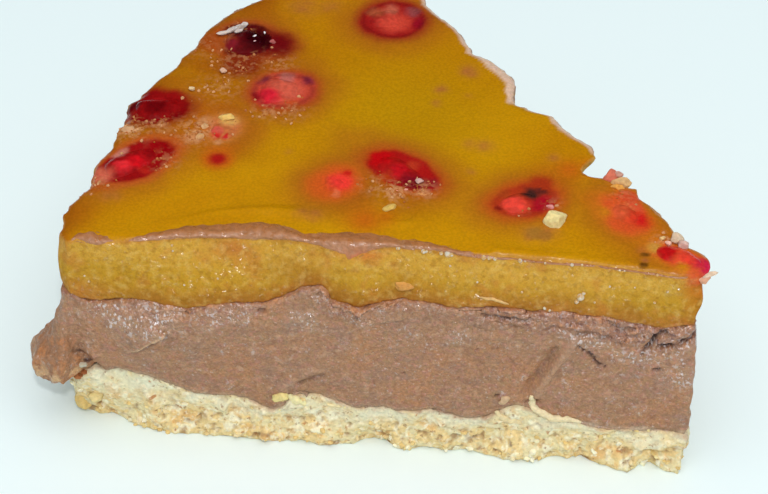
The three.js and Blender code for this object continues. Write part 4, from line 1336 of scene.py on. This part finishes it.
def strokeMesh(tree, stroke):
    # a closed strip: its upper skin is a low mound across, its lower skin lies just inside the jelly
    alongs = np.arange(stroke[-1][0], stroke[0][0] + 0.01, smear["step"])
    table = sorted(stroke)
    columns = list(zip(*table))
    top, down, thickness = (np.interp(alongs, columns[0], columns[i]) for i in (1, 2, 3))
    wobbles = np.stack([alongs, np.zeros(len(alongs)), np.zeros(len(alongs))], axis=1)
    top = top + 0.22 * noise(wobbles, 1.6, 101) * np.minimum(top, 1.0)
    down = down + 0.22 * noise(wobbles, 1.4, 102) * np.minimum(np.abs(down), 1.0)
    count = smear["across"]
    upper, lower = [], []
    for i, along in enumerate(alongs):
        for j in range(count + 1):
            share = j / count
            reach = top[i] + (-down[i] - top[i]) * share
            point, normal = surfaceOverEdge(tree, along, reach)
            across = 1.0 - (2.0 * share - 1.0) ** 2
            ridges = 0.75 + 0.35 * math.sin(5.5 * share + 0.5 * along)
            lift = thickness[i] * (across ** 0.6) * ridges - 0.06 * (1.0 - across)
            upper.append(point + normal * lift * mm)
            lower.append(point - normal * smear["sunk"] * across * mm)
    rows = len(alongs)
    width = count + 1
    points = np.array(upper + lower)
    faces = []
    below = rows * width
    for i in range(rows - 1):
        for j in range(count):
            a, b = i * width + j, (i + 1) * width + j
            faces.append((a, b, b + 1, a + 1))
            faces.append((below + a, below + a + 1, below + b + 1, below + b))
        for j in (0, count):
            a, b = i * width + j, (i + 1) * width + j
            side = (a, below + a, below + b, b)
            faces.append(side if j == 0 else side[::-1])
    for i in (0, rows - 1):
        for j in range(count):
            a = i * width + j
            end = (a, a + 1, below + a + 1, below + a)
            faces.append(end if i == 0 else end[::-1])
    mesh = bpy.data.meshes.new("stroke")
    mesh.from_pydata(points.tolist(), [], faces)
    setField(mesh, "across", np.tile(np.arange(width) / count, 2 * rows))
    setField(mesh, "thin", np.full(len(points), float(max(thickness) < 0.2)))
    return mesh


def makeSmearMesh(jellyMesh):
    tree = meshTree(jellyMesh)
    mesh = joined([strokeMesh(tree, stroke) for stroke in smear["strokes"]])
    points = meshPoints(mesh)
    points = relax(points, meshEdges(mesh), np.ones(len(points)), 2)
    place = Place(points)
    normals = meshNormals(mesh)
    push(points, normals, waves(place.points, (1.3, 0.1, 103), (0.6, 0.05, 104)))
    setPoints(mesh, points)
    setField(mesh, "orange", hill(place.along, 48.4, 2.2) * hill(place.up, 35.4, 1.6))
    return mesh


def smearMaterial():
    look = Look("smearLook", smear["brown"], 0.3, 0.45)
    look.mix(smear["pink"], look.range("across", 0.4, 0.8, 0.0, 0.35))
    look.mix(smear["pink"], look.clouds(1.8, 3.0, 0.5, 0.68, 0.4))
    look.mix(smear["orange"], "orange", look.clouds(1.5, 3.0, 0.36, 0.5, 1.0, 0.3))
    look.mix(smear["edge"], "thin", look.clouds(1.6, 3.0, 0.36, 0.6, 0.6, 1.0))
    look.mix(smear["amber"], look.range("across", 0.88, 1.0, 0.0, 0.8))
    look.mix(smear["amber"], look.range("across", 0.0, 0.08, 0.6, 0.0))
    look.shade(look.noise(0.6, 3.0), 0.88, 1.12)
    look.feed("Roughness", look.range(look.noise(0.9, 2.0), 0.5, 0.62, 0.45, 0.14))
    look.glow(0.15, 0.5, (1.0, 0.5, 0.3))
    look.bump(look.noise(0.6, 3.0), 0.16)
    return look.done()


# Biscuit base

biscuit = {
    "voxel": 0.34,
    "cream": (232, 216, 168), "straw": (236, 208, 148), "golden": (222, 168, 98), "toast": (188, 124, 72),
    "white": (250, 242, 210), "shadow": (150, 106, 66), "smooth": (226, 222, 192),
    "seamBrown": (182, 138, 108),
    # how far the foot of the front cut stands out, from the tip to the rim
    "footReach": [
        (0, 0.2), (2, 1.3), (3.8, 0.8), (5.7, -0.7), (7.2, 0.2), (8.6, 1.8), (11.2, 0.8), (13.8, -0.1),
        (15.6, -1.4), (17.6, -0.3), (19.6, 0.1), (22, 0.6), (26, 0.3), (31.6, -0.2), (33.4, -0.3),
        (35.4, 0.0), (37, -0.6), (39, -0.4), (42.5, 0.4), (45, -1.1), (47, -1.2), (49.2, 0.3), (51, 0.0),
        (54, 0.6), (59, 0.3), (63.3, 0.4), (66, 0.1), (71.8, 0.9), (74.3, 0.7), (76.7, 0.3), (79.3, 0.6),
        (80.6, 0.3), (82.5, 0.2), (84.5, -0.7), (90, -0.6),
    ],
}


def makeBiscuitMesh():
    mesh = remeshed(mergedCopy("biscuit_base"), biscuit["voxel"])
    edges = meshEdges(mesh)
    points = relax(meshPoints(mesh), edges, np.ones(len(mesh.vertices)), 3)
    setPoints(mesh, points)
    place = Place(points)
    normals = meshNormals(mesh)
    upright = fall(np.abs(normals[:, 2]), 0.6, 0.95)
    seam = biscuitSeam.at(place.along, place.deep)
    isFront = fall(place.deep, 2.0, 6.0)
    foot = ramp(place.along, biscuit["footReach"]) * fall(place.up, 0.5, 5.0) * isFront
    points[:, 1] -= foot * mm
    # by the rim's front corner the foot spreads out under the lump
    spread = 1.9 * hill(place.turn, 4.0, 5.0) * fall(place.up, 5.0, 11.0)
    spread *= rise(place.radius, 80.0, 88.0)
    points[:, 0] -= spread * mm
    # the upper part of the cut is pressed smooth, the lower part crumbles
    share = place.up / seam + 0.22 * noise(place.points, 6.0, 76)
    crumbly = ramp(share, [(0.0, 1.0), (0.4, 1.0), (0.7, 0.45), (1.0, 0.2)])
    big, bigOwner = grains(place.points, 2.4, 72)
    small, smallOwner = grains(place.points, 1.05, 73)
    lumps = 0.9 * (0.5 - big) * bigOwner + 0.5 * (0.45 - small) * (0.3 + 0.9 * smallOwner)
    pits = -0.5 * rise(noise(place.points, 1.4, 74), 0.38, 0.62)
    fine = waves(place.points, (0.8, 0.17, 75), (3.0, 0.16, 77))
    push(points, normals, upright * (crumbly * (lumps + pits) + fine))
    points[:, 2] += seamShift(place) * mm
    points[:, 2] = np.maximum(points[:, 2], 0.0)
    sharpenTip(points, place)
    # the base runs out a little further at the tip
    points[:, 0] += 0.9 * hill(place.radius, 0.0, 4.0) * hill(place.up, 5.5, 3.0) * mm
    setPoints(mesh, points)
    setField(mesh, "grain", 0.5 * bigOwner + 0.5 * smallOwner)
    setField(mesh, "smoothed", fall(crumbly, 0.25, 0.85))
    pitted = rise(-pits, 0.1, 0.5) + rise(small, 0.62, 0.9)
    setField(mesh, "pit", np.clip(pitted, 0.0, 1.0) * crumbly)
    setField(mesh, "underSeam", np.clip(seam - place.up, 0.0, 4.0))
    lowCrumbs = rise(place.up, 0.1, 0.5) * (0.25 + 0.75 * fall(place.up, 0.5, 3.0))
    setField(mesh, "crumbs", upright * crumbly * lowCrumbs)
    return mesh


def biscuitMaterial():
    look = Look("biscuitLook", biscuit["cream"], 0.8, 0.2)
    look.mix(biscuit["straw"], look.range("grain", 0.3, 0.6))
    look.mix(biscuit["golden"], look.clouds(4.5, 4.0, 0.53, 0.66, 0.65))
    look.mix(biscuit["white"], look.clouds(2.2, 3.0, 0.54, 0.66, 0.85, distortion=0.6))
    look.mix(biscuit["golden"], look.clouds(1.4, 3.0, 0.57, 0.67, 0.5))
    smooth = look.times("smoothed", look.clouds(3.0, 3.0, 0.38, 0.62, 0.3, 0.9))
    look.mix(biscuit["smooth"], smooth)
    look.mix(biscuit["golden"], look.clouds(0.9, 3.0, 0.6, 0.68, 0.4))
    look.mix(biscuit["white"], look.clouds(0.9, 3.0, 0.54, 0.66, 0.6))
    look.mix(biscuit["toast"], look.clouds(1.6, 4.0, 0.65, 0.73, 0.85, distortion=0.5))
    look.mix(biscuit["shadow"], look.clouds(0.7, 3.0, 0.62, 0.7, 0.6))
    look.mix(biscuit["shadow"], "pit", 0.7)
    # browner just under the mousse
    nearSeam = look.range(look.plus("underSeam", look.times(look.noise(1.5, 4.0), 3.0)), 2.7, 1.3)
    look.mix(biscuit["seamBrown"], nearSeam, 0.75)
    look.shade(look.noise(0.5, 3.0), 0.9, 1.08)
    look.glow(0.15, 0.6, (1.0, 0.8, 0.5))
    look.bump(look.noise(1.1, 4.0), 0.26)
    look.bump(look.cells(0.7), 0.14)
    return look.done()


# Crumbs

crumbs = {
    "subdivisions": 4,
    "faces": 16,  # broken faces of each crumb placed by hand
    "seed": 113,
    "specular": 0.05,
    # kinds of crumbs: those listed one by one, those strewn on the base and the frosty ones on the jelly;
    # sizes in mm, and "where" names the field that says how thickly they lie
    "placedKind": {"look": "placedCrumbLook", "roughness": 0.6, "colours": [(220, 190, 140)]},
    "baseKind": {
        "look": "baseCrumbLook", "roughness": 0.7,
        "colours": [(236, 220, 166), (226, 194, 130), (246, 238, 206)],
        "perSquareMetre": 5e5, "smallest": 0.16, "largest": 0.6, "seed": 4, "where": "crumbs",
    },
    "frostKind": {
        "look": "frostLook", "roughness": 0.8,
        "colours": [(164, 94, 34), (178, 106, 56), (208, 152, 106)],
        "perSquareMetre": 3e6, "smallest": 0.08, "largest": 0.27, "seed": 9, "where": "frost",
    },
    # crumbs big enough to list one by one: along, deep, up, half sizes (right, deep, up), turn, colour
    "placed": [
        (21.7, 10.3, 38.3, 1.75, 1.9, 1.45, 0.9, (228, 208, 146)),
        (44.8, 10.9, 38.1, 1.05, 0.75, 0.5, 0.5, (212, 174, 92)),
        (12.6, 20.1, 37.4, 1.4, 1.5, 1.1, -0.6, (216, 172, 118)),
        (13.0, 18.8, 37.7, 1.2, 0.8, 0.7, -0.3, (222, 156, 74)),
        (14.1, 21.1, 37.5, 1.3, 1.2, 1.0, 0.3, (206, 112, 88)),
        (13.3, 21.5, 37.8, 0.9, 0.8, 0.7, 0.3, (196, 146, 130)),
        (-0.5, 2.6, 37.2, 1.2, 0.4, 0.3, 0.5, (226, 196, 168)),
        (0.4, 1.7, 36.9, 0.9, 0.6, 0.5, 0.9, (214, 160, 130)),
        (73.9, 48.0, 38.5, 1.3, 0.35, 0.3, 0.45, (206, 190, 180)),
        (73.1, 48.6, 38.6, 1.3, 0.45, 0.35, 0.6, (196, 178, 168)),
        (72.5, 49.2, 38.6, 1.2, 0.4, 0.35, 0.7, (212, 200, 192)),
        (71.8, 49.0, 38.8, 1.2, 0.45, 0.4, 0.9, (190, 172, 164)),
        (71.4, 49.8, 38.7, 1.0, 0.35, 0.35, 0.9, (212, 200, 194)),
        (71.8, 47.9, 39.0, 0.8, 0.35, 0.3, 0.6, (200, 184, 178)),
        (66.6, 46.8, 38.2, 0.5, 0.4, 0.3, 0.2, (176, 96, 92)),
        # the next three crumbs are tiny pale specks on an aril: painted highlights
        (69.2, 46.4, 39.4, 0.34, 0.16, 0.14, 0.5, (244, 238, 238)),
        (67.8, 47.4, 39.4, 0.18, 0.34, 0.14, 0.3, (244, 238, 238)),
        (69.0, 45.2, 39.4, 0.26, 0.12, 0.12, 0.6, (214, 170, 176)),
        (76.9, 34.2, 38.3, 0.45, 0.4, 0.35, 0.0, (226, 196, 150)),
        (72.9, 39.0, 38.3, 0.5, 0.45, 0.35, 0.4, (222, 178, 150)),
        (70.7, 28.4, 38.1, 1.3, 0.9, 0.55, 0.3, (222, 182, 104)),
        (74.2, 23.6, 38.1, 0.9, 0.6, 0.4, 0.9, (206, 156, 106)),
        (73.8, 26.0, 38.1, 0.7, 0.5, 0.35, 0.2, (208, 160, 112)),
        (85.0, 24.2, 38.0, 1.0, 0.7, 0.4, 0.2, (204, 156, 116)),
        (41.2, 16.7, 38.4, 0.55, 0.6, 0.35, 0.2, (196, 156, 146)),
        (40.3, 14.2, 38.1, 1.2, 0.5, 0.3, 0.2, (208, 140, 84)),
        (44.2, 14.5, 38.2, 0.4, 0.3, 0.25, 0.0, (226, 150, 130)),
        (43.1, 14.8, 38.2, 0.35, 0.3, 0.25, 0.0, (222, 150, 130)),
        (6.4, 8.3, 38.1, 0.5, 0.32, 0.3, 0.2, (226, 190, 130)),
        (5.5, 7.3, 38.1, 0.5, 0.34, 0.3, -0.4, (228, 176, 156)),
        (4.4, 8.2, 38.2, 0.9, 0.7, 0.9, 0.3, (214, 188, 160)),
        (3.5, 7.4, 38.1, 0.8, 0.6, 0.7, -0.2, (208, 172, 160)),
        (22.3, 13.3, 38.2, 0.5, 0.4, 0.35, 0.0, (216, 140, 134)),
        (42.0, 0.1, 33.2, 1.4, 0.35, 1.1, 0.0, (206, 146, 76)),
        (88.0, 1.2, 5.0, 1.4, 1.0, 1.0, 0.4, (222, 200, 142)),
        (90.6, 3.2, 2.2, 1.6, 1.4, 1.4, 0.2, (222, 192, 124)),
        (89.8, -0.5, 10.9, 0.8, 0.6, 0.5, 0.2, (166, 106, 66)),
        (88.9, -0.6, 11.9, 0.5, 0.4, 0.5, 0.6, (146, 88, 52)),
        (88.6, -1.0, 13.9, 0.6, 0.4, 0.5, 0.2, (190, 182, 160)),
    ],
    # those of them that the CAD model has fused to the jelly: along, deep, half size
    "fused": [
        (21.9, 11.0, 2.3), (43.6, 10.6, 1.6), (72.6, 49.4, 2.3), (68.6, 27.6, 1.8), (74.8, 24.6, 1.5),
        (66.5, 44.2, 1.2), (13.9, 20.2, 1.9),
    ],
    # fine frosty crumbs: along, deep, radius, share
    "frost": [
        (71.0, 42.0, 3.2, 0.5), (65.0, 41.8, 2.0, 0.6), (75.0, 25.0, 2.6, 1.0), (84.4, 24.4, 2.6, 1.0),
        (80.6, 25.6, 2.0, 0.7), (78.4, 17.6, 2.0, 0.5), (44.6, 14.4, 2.2, 0.9),
        (40.6, 15.0, 1.6, 1.0), (47.6, 15.4, 2.0, 0.5), (5.4, 8.0, 1.8, 0.8), (72.0, 49.0, 2.0, 0.6),
        (65.4, 30.4, 1.8, 0.6), (61.6, 30.6, 2.0, 0.6), (73.0, 35.4, 3.0, 0.5), (71.4, 25.2, 1.6, 0.9),
        (12.0, 17.4, 2.0, 0.3), (26.6, 12.6, 1.2, 0.4), (22.0, 14.0, 1.2, 0.4), (78.0, 45.0, 3.0, 0.3),
        (88.0, 12.0, 2.4, 0.4),
    ],
}


def makePlacedCrumbs():
    ball = icosphere(crumbs["subdivisions"])
    unit = meshPoints(ball)
    meshes = []
    rng = np.random.RandomState(crumbs["seed"])
    for index, (along, deep, up, sizeX, sizeY, sizeZ, turn, colour) in enumerate(crumbs["placed"]):
        mesh = ball.copy()
        # broken faces: the ball cut off by planes all round it
        faces = rng.normal(size=(crumbs["faces"], 3))
        faces /= np.linalg.norm(faces, axis=1)[:, None]
        facing = np.maximum(unit @ faces.T, 0.05)
        size = np.minimum((rng.uniform(0.62, 0.95, crumbs["faces"]) / facing).min(axis=1), 1.25)
        size += 0.1 * noise(unit + 5.0 * index, 0.7, 112)
        points = unit * size[:, None] * [sizeX * mm, sizeY * mm, sizeZ * mm]
        points = points @ np.array(Euler((0.0, 0.0, turn)).to_matrix()).T
        setPoints(mesh, points + np.array(fromSlice(along, deep, up)))
        setColours(mesh, "tint", np.tile(colourArray(*colour), (len(points), 1)))
        meshes.append(mesh)
    return joined(meshes)


def crumbMaterial(kind):
    # crumbs listed one by one have a tint of their own, and strewn ones take their kind's three colours
    look = Look(kind["look"], kind["colours"][0], kind["roughness"], crumbs["specular"])
    if len(kind["colours"]) == 1:
        look.mix(look.field("tint", "Color"), 1.0)
    else:
        look.mix(kind["colours"][1], look.range("shade", 0.2, 0.6))
        look.mix(kind["colours"][2], look.range("shade", 0.6, 0.9))
    look.shade(look.noise(0.6, 3.0), 0.86, 1.1)
    look.glow(0.2, 0.6, (1.0, 0.7, 0.4))
    look.bump(look.noise(0.4, 3.0), 0.08)
    return look.done()


def scatterTree():
    # crumbs strewn over a surface where the field that "Where" names is high
    tree = bpy.data.node_groups.new("strewnCrumbs", "GeometryNodeTree")
    inputs = {
        "Surface": "Geometry", "Per Square Metre": "Float", "Smallest": "Float", "Largest": "Float",
        "Seed": "Int", "Where": "String", "Look": "Material",
    }
    for name, kind in inputs.items():
        tree.interface.new_socket(name, in_out="INPUT", socket_type="NodeSocket" + kind)
    tree.interface.new_socket("Crumbs", in_out="OUTPUT", socket_type="NodeSocketGeometry")

    def add(kind, inputs, **settings):
        return addNode(tree, kind, inputs, **settings)

    entry = add("NodeGroupInput", {})
    where = add("GeometryNodeInputNamedAttribute", {"Name": entry["Where"]}, data_type="FLOAT")[0]
    density = add("ShaderNodeMath", {0: where, 1: entry["Per Square Metre"]}, operation="MULTIPLY")[0]
    strew = {"Mesh": entry["Surface"], "Density": density, "Seed": entry["Seed"]}
    points = add("GeometryNodeDistributePointsOnFaces", strew, distribute_method="RANDOM")["Points"]
    ball = add("GeometryNodeMeshIcoSphere", {"Subdivisions": 1})["Mesh"]
    turn = add("FunctionNodeRandomValue", {"Max": (6.28, 6.28, 6.28)}, data_type="FLOAT_VECTOR")["Value"]
    between = {2: entry["Smallest"], 3: entry["Largest"]}
    size = add("FunctionNodeRandomValue", between, data_type="FLOAT")[1]
    between = {"Min": (0.5, 0.5, 0.5), "Max": (1.4, 1.4, 1.4)}
    stretch = add("FunctionNodeRandomValue", between, data_type="FLOAT_VECTOR")["Value"]
    scale = add("ShaderNodeVectorMath", {0: stretch, "Scale": size}, operation="SCALE")["Vector"]
    place = {"Points": points, "Instance": ball, "Rotation": turn, "Scale": scale}
    balls = add("GeometryNodeInstanceOnPoints", place)["Instances"]
    shade = add("FunctionNodeRandomValue", {}, data_type="FLOAT")[1]
    keep = {"Name": "shade", "Geometry": balls, "Value": shade}
    balls = add("GeometryNodeStoreNamedAttribute", keep, data_type="FLOAT", domain="INSTANCE")["Geometry"]
    real = add("GeometryNodeRealizeInstances", {"Geometry": balls})["Geometry"]
    bumps = add("ShaderNodeTexNoise", {"Scale": 1.0 / (0.7 * mm)})["Color"]
    centred = add("ShaderNodeVectorMath", {0: bumps, 1: (0.5, 0.5, 0.5)}, operation="SUBTRACT")["Vector"]
    shift = add("ShaderNodeVectorMath", {0: centred, "Scale": entry["Largest"]}, operation="SCALE")[0]
    moved = add("GeometryNodeSetPosition", {"Geometry": real, "Offset": shift})["Geometry"]
    painted = add("GeometryNodeSetMaterial", {"Geometry": moved, "Material": entry["Look"]})["Geometry"]
    add("NodeGroupOutput", {"Crumbs": painted})
    return tree


def addStrewn(name, surface, tree, kind):
    look = crumbMaterial(kind)
    values = {
        "Per Square Metre": kind["perSquareMetre"], "Smallest": kind["smallest"] * mm,
        "Largest": kind["largest"] * mm, "Seed": kind["seed"], "Where": kind["where"], "Look": look,
    }

    def addScatter(work):
        scatter = work.modifiers.new("crumbs", "NODES")
        scatter.node_group = tree
        for socket in tree.interface.items_tree:
            if socket.in_out == "INPUT" and socket.name in values:
                scatter[socket.identifier] = values[socket.name]
    addPiece(name, evaluated(surface.copy(), addScatter), look, smooth=False)


# Flakes and bubbles on the front cut

flakes = {
    "step": 0.2,  # mm between rings
    "around": 10,  # points round a ring
    # thin flakes of biscuit: path as (along, up), half width, half thickness, colour
    "paths": [
        ([(23.3, 13.4), (22.9, 10.9), (21.9, 9.9), (19.9, 9.1), (17.8, 9.0), (15.7, 8.6)],
         0.62, 0.34, (236, 216, 174)),
        ([(28.2, 9.8), (26.5, 7.6), (24.4, 7.0)], 0.6, 0.3, (232, 210, 164)),
        ([(27.8, 11.4), (26.4, 12.8)], 0.6, 0.3, (206, 172, 136)),
        ([(60.9, 8.4), (59.8, 9.4), (58.6, 9.6)], 0.9, 0.4, (232, 210, 142)),
        ([(58.9, 9.6), (57.4, 9.0), (56.2, 8.3)], 0.7, 0.34, (236, 222, 168)),
        ([(31.4, 31.5), (29.2, 31.4), (27.1, 30.9)], 0.24, 0.16, (214, 172, 112)),
        ([(53.0, 8.3), (51.0, 7.9)], 0.3, 0.22, (232, 214, 168)),
    ],
}


def frontDeep(trees, along, up):
    # how deep the foremost of these surfaces lies behind a place on the front cut, in m
    deeps = []
    for tree in trees:
        hit = tree.ray_cast(fromSlice(along, -12.0, up), intoFront)[0]
        if hit:
            deeps.append(hit.y)
    return min(deeps)


def flakeMesh(trees, path, halfWidth, halfThickness, colour, seed):
    # a closed strip with an oval section that follows the path and tapers to both ends
    corners = np.array(path)
    lengths = np.concatenate([[0.0], np.cumsum(np.linalg.norm(np.diff(corners, axis=0), axis=1))])
    count = int(lengths[-1] / flakes["step"]) + 2
    way = np.linspace(0.0, lengths[-1], count)
    along, up = np.interp(way, lengths, corners[:, 0]), np.interp(way, lengths, corners[:, 1])
    line = np.stack([along, up, np.zeros(count)], axis=1)
    along, up = along + 0.18 * noise(line, 1.3, seed), up + 0.18 * noise(line, 1.3, seed + 1)
    deep = np.array([frontDeep(trees, a, u) for a, u in zip(along, up)])
    middle = np.stack([tipPoint[0] - along * mm, deep, up * mm], axis=1)
    tangent = np.gradient(middle, axis=0)
    tangent[:, 1] = 0.0
    tangent /= np.linalg.norm(tangent, axis=1)[:, None]
    across = np.stack([-tangent[:, 2], np.zeros(count), tangent[:, 0]], axis=1)
    taper = np.sqrt(np.clip(np.sin(np.pi * np.linspace(0.04, 0.96, count)), 0.0, 1.0))
    rings = []
    for k in range(flakes["around"]):
        angle = 2.0 * math.pi * k / flakes["around"]
        wide = halfWidth * math.cos(angle) * taper * (1.0 + 0.7 * noise(line + k, 0.8, seed + 2))
        out = halfThickness * (math.sin(angle) * taper + 0.4)
        ring = middle + across * (wide * mm)[:, None]
        ring[:, 1] -= out * mm
        rings.append(ring)
    points = np.stack(rings, axis=1).reshape(-1, 3)
    size = flakes["around"]
    faces = [tuple(range(size)), tuple(range(len(points) - 1, len(points) - 1 - size, -1))]
    for i in range(count - 1):
        for k in range(size):
            a, b = i * size + k, i * size + (k + 1) % size
            faces.append((a, a + size, b + size, b))
    mesh = bpy.data.meshes.new("flake")
    mesh.from_pydata(points.tolist(), [], faces)
    edited(mesh, turnFacesOut)
    setColours(mesh, "tint", np.tile(colourArray(*colour), (len(points), 1)))
    return mesh


def makeFlakes(meshes):
    trees = [meshTree(mesh) for mesh in meshes]
    return joined([flakeMesh(trees, *flake, 120 + 3 * i) for i, flake in enumerate(flakes["paths"])])


bubbles = {
    "subdivisions": 3,
    "grey": (206, 196, 176), "amber": (198, 148, 66),
    # bubbles in the jelly's front cut: along, up, half size in mm
    "onCut": [
        (17.2, 32.7, 0.55), (17.7, 32.0, 0.34), (16.8, 33.3, 0.26), (31.7, 33.7, 0.16), (25.4, 32.8, 0.2),
        (13.3, 34.7, 0.18), (9.8, 35.0, 0.16), (22.1, 30.6, 0.24), (21.4, 30.4, 0.2), (5.3, 35.0, 0.2),
        (3.8, 35.6, 0.18), (35.6, 35.7, 0.18), (6.9, 32.9, 0.2), (15.2, 32.1, 0.16), (74.7, 36.6, 0.2),
        (74.6, 35.8, 0.16), (86.6, 30.5, 0.2), (87.2, 31.4, 0.16), (73.0, 30.8, 0.18), (68.3, 31.8, 0.16),
    ],
    # and on the edge line over it: along, half size in mm
    "onEdge": [
        (43.0, 0.3), (39.4, 0.36), (39.0, 0.24), (36.9, 0.3), (36.0, 0.5), (35.5, 0.34), (31.0, 0.38),
        (30.2, 0.3), (29.4, 0.28), (25.9, 0.32), (25.2, 0.2), (18.7, 0.26), (17.3, 0.2), (12.1, 0.22),
        (11.4, 0.16), (6.9, 0.2), (38.5, 0.18), (22.4, 0.18),
    ],
}


def makeBubbles(jellyMesh):
    tree = meshTree(jellyMesh)
    ball = icosphere(bubbles["subdivisions"])
    unit = meshPoints(ball)
    places = []
    for along, up, size in bubbles["onCut"]:
        places.append((fromSlice(along, 0.0, up)[0], frontDeep([tree], along, up), up * mm, size))
    for along, size in bubbles["onEdge"]:
        point, _ = surfaceOverEdge(tree, along, -0.2)
        places.append((*point, size))
    meshes = []
    for x, y, z, size in places:
        mesh = ball.copy()
        setPoints(mesh, unit * size * mm + np.array([[x, y, z]]))
        meshes.append(mesh)
    return joined(meshes)


def bubbleMaterial():
    look = Look("bubbleLook", bubbles["amber"], 0.08, 0.6)
    look.mix(bubbles["grey"], look.clouds(0.5, 2.0, 0.4, 0.6, 1.0, 0.2))
    look.glow(0.2, 0.4, (1.0, 0.6, 0.3))
    return look.done()


# The pieces, in order

mousseMesh = makeMousseMesh()
addPiece("mousseLayer", mousseMesh, mousseMaterial(), ["chocolate_mousse"])

jellyMesh = makeJellyMesh()
colourJelly(jellyMesh)
addPiece("jellyLayer", jellyMesh, jellyMaterial(), ["fruit_jelly"])
addPiece("mousseSmear", makeSmearMesh(jellyMesh), smearMaterial())

biscuitMesh = makeBiscuitMesh()
addPiece("biscuitLayer", biscuitMesh, biscuitMaterial(), ["biscuit_base"])

arilLook = arilMaterial()
for number, oneAril in enumerate(arils):
    makeAril(oneAril, arilLook, number)

placedLook = crumbMaterial(crumbs["placedKind"])
addPiece("placedCrumbs", makePlacedCrumbs(), placedLook)
strewnTree = scatterTree()
addStrewn("baseCrumbs", biscuitMesh, strewnTree, crumbs["baseKind"])
addStrewn("frostCrumbs", jellyMesh, strewnTree, crumbs["frostKind"])

addPiece("flakes", makeFlakes([mousseMesh, jellyMesh, biscuitMesh]), placedLook)
addPiece("bubbles", makeBubbles(jellyMesh), bubbleMaterial())


# Floor, light and camera

stageSettings = {
    "floorSize": 6.0,
    "floorColour": (235, 248, 249),
    "skyColour": (0.86, 0.95, 1.0, 1.0),
    "skyStrength": 0.5,
    # lights: name, place in m from the slice's middle, size in m, power in W, colour, lights up, glints
    "lights": [
        ("overheadLight", (0.08, -0.25, 0.95), 1.1, 5.2, (1.0, 0.975, 0.95), True, False),
        ("flashLight", (0.07, -0.42, 0.52), 0.035, 1.2, (1.0, 0.97, 0.95), True, True),
        ("glintLight", (0.10, -0.60, 0.16), 0.05, 3.0, (1.0, 0.95, 0.97), False, True),
    ],
}

camera = {
    # where it stands and what it looks at: along, deep, up
    "at": (19.0, -252.3, 274.8),
    "aim": (49.1, 43.65, 0.0),
    "lens": 117.4,
    "sensor": 36.0,
    "clipStart": 0.02,
}


def makeFloor():
    size = stageSettings["floorSize"] / 2.0
    mesh = bpy.data.meshes.new("floor")
    corners = [(-size, -size, 0.0), (size, -size, 0.0), (size, size, 0.0), (-size, size, 0.0)]
    mesh.from_pydata(corners, [], [(0, 1, 2, 3)])
    floor = bpy.data.objects.new("floor", mesh)
    bpy.context.scene.collection.objects.link(floor)
    look = Look("floorLook", stageSettings["floorColour"], 0.6, 0.2)
    mesh.materials.append(look.done())


def makeLights():
    for name, place, size, power, colour, lights, glints in stageSettings["lights"]:
        light = bpy.data.lights.new(name, "AREA")
        light.shape = "DISK"
        light.size = size
        light.energy = power
        light.color = colour
        lamp = bpy.data.objects.new(name, light)
        lamp.location = place
        lamp.rotation_euler = (-Vector(place)).to_track_quat("-Z", "Y").to_euler()
        lamp.visible_diffuse = lights
        lamp.visible_glossy = glints
        bpy.context.scene.collection.objects.link(lamp)


def makeSky():
    sky = bpy.data.worlds.new("sky")
    sky.use_nodes = True
    background = sky.node_tree.nodes["Background"]
    background.inputs["Color"].default_value = stageSettings["skyColour"]
    background.inputs["Strength"].default_value = stageSettings["skyStrength"]
    sky.cycles_visibility.glossy = False  # wet surfaces show the lamp's glints, not the whole sky
    bpy.context.scene.world = sky


def makeCamera():
    data = bpy.data.cameras.new("camera")
    data.lens = camera["lens"]
    data.sensor_width = camera["sensor"]
    data.clip_start = camera["clipStart"]
    view = bpy.data.objects.new("camera", data)
    view.location = fromSlice(*camera["at"])
    way = fromSlice(*camera["aim"]) - view.location
    view.rotation_euler = way.to_track_quat("-Z", "Y").to_euler()
    bpy.context.scene.collection.objects.link(view)
    bpy.context.scene.camera = view


makeFloor()
makeLights()
makeSky()
makeCamera()
bpy.context.scene.view_settings.view_transform = "Standard"
print("stage made")
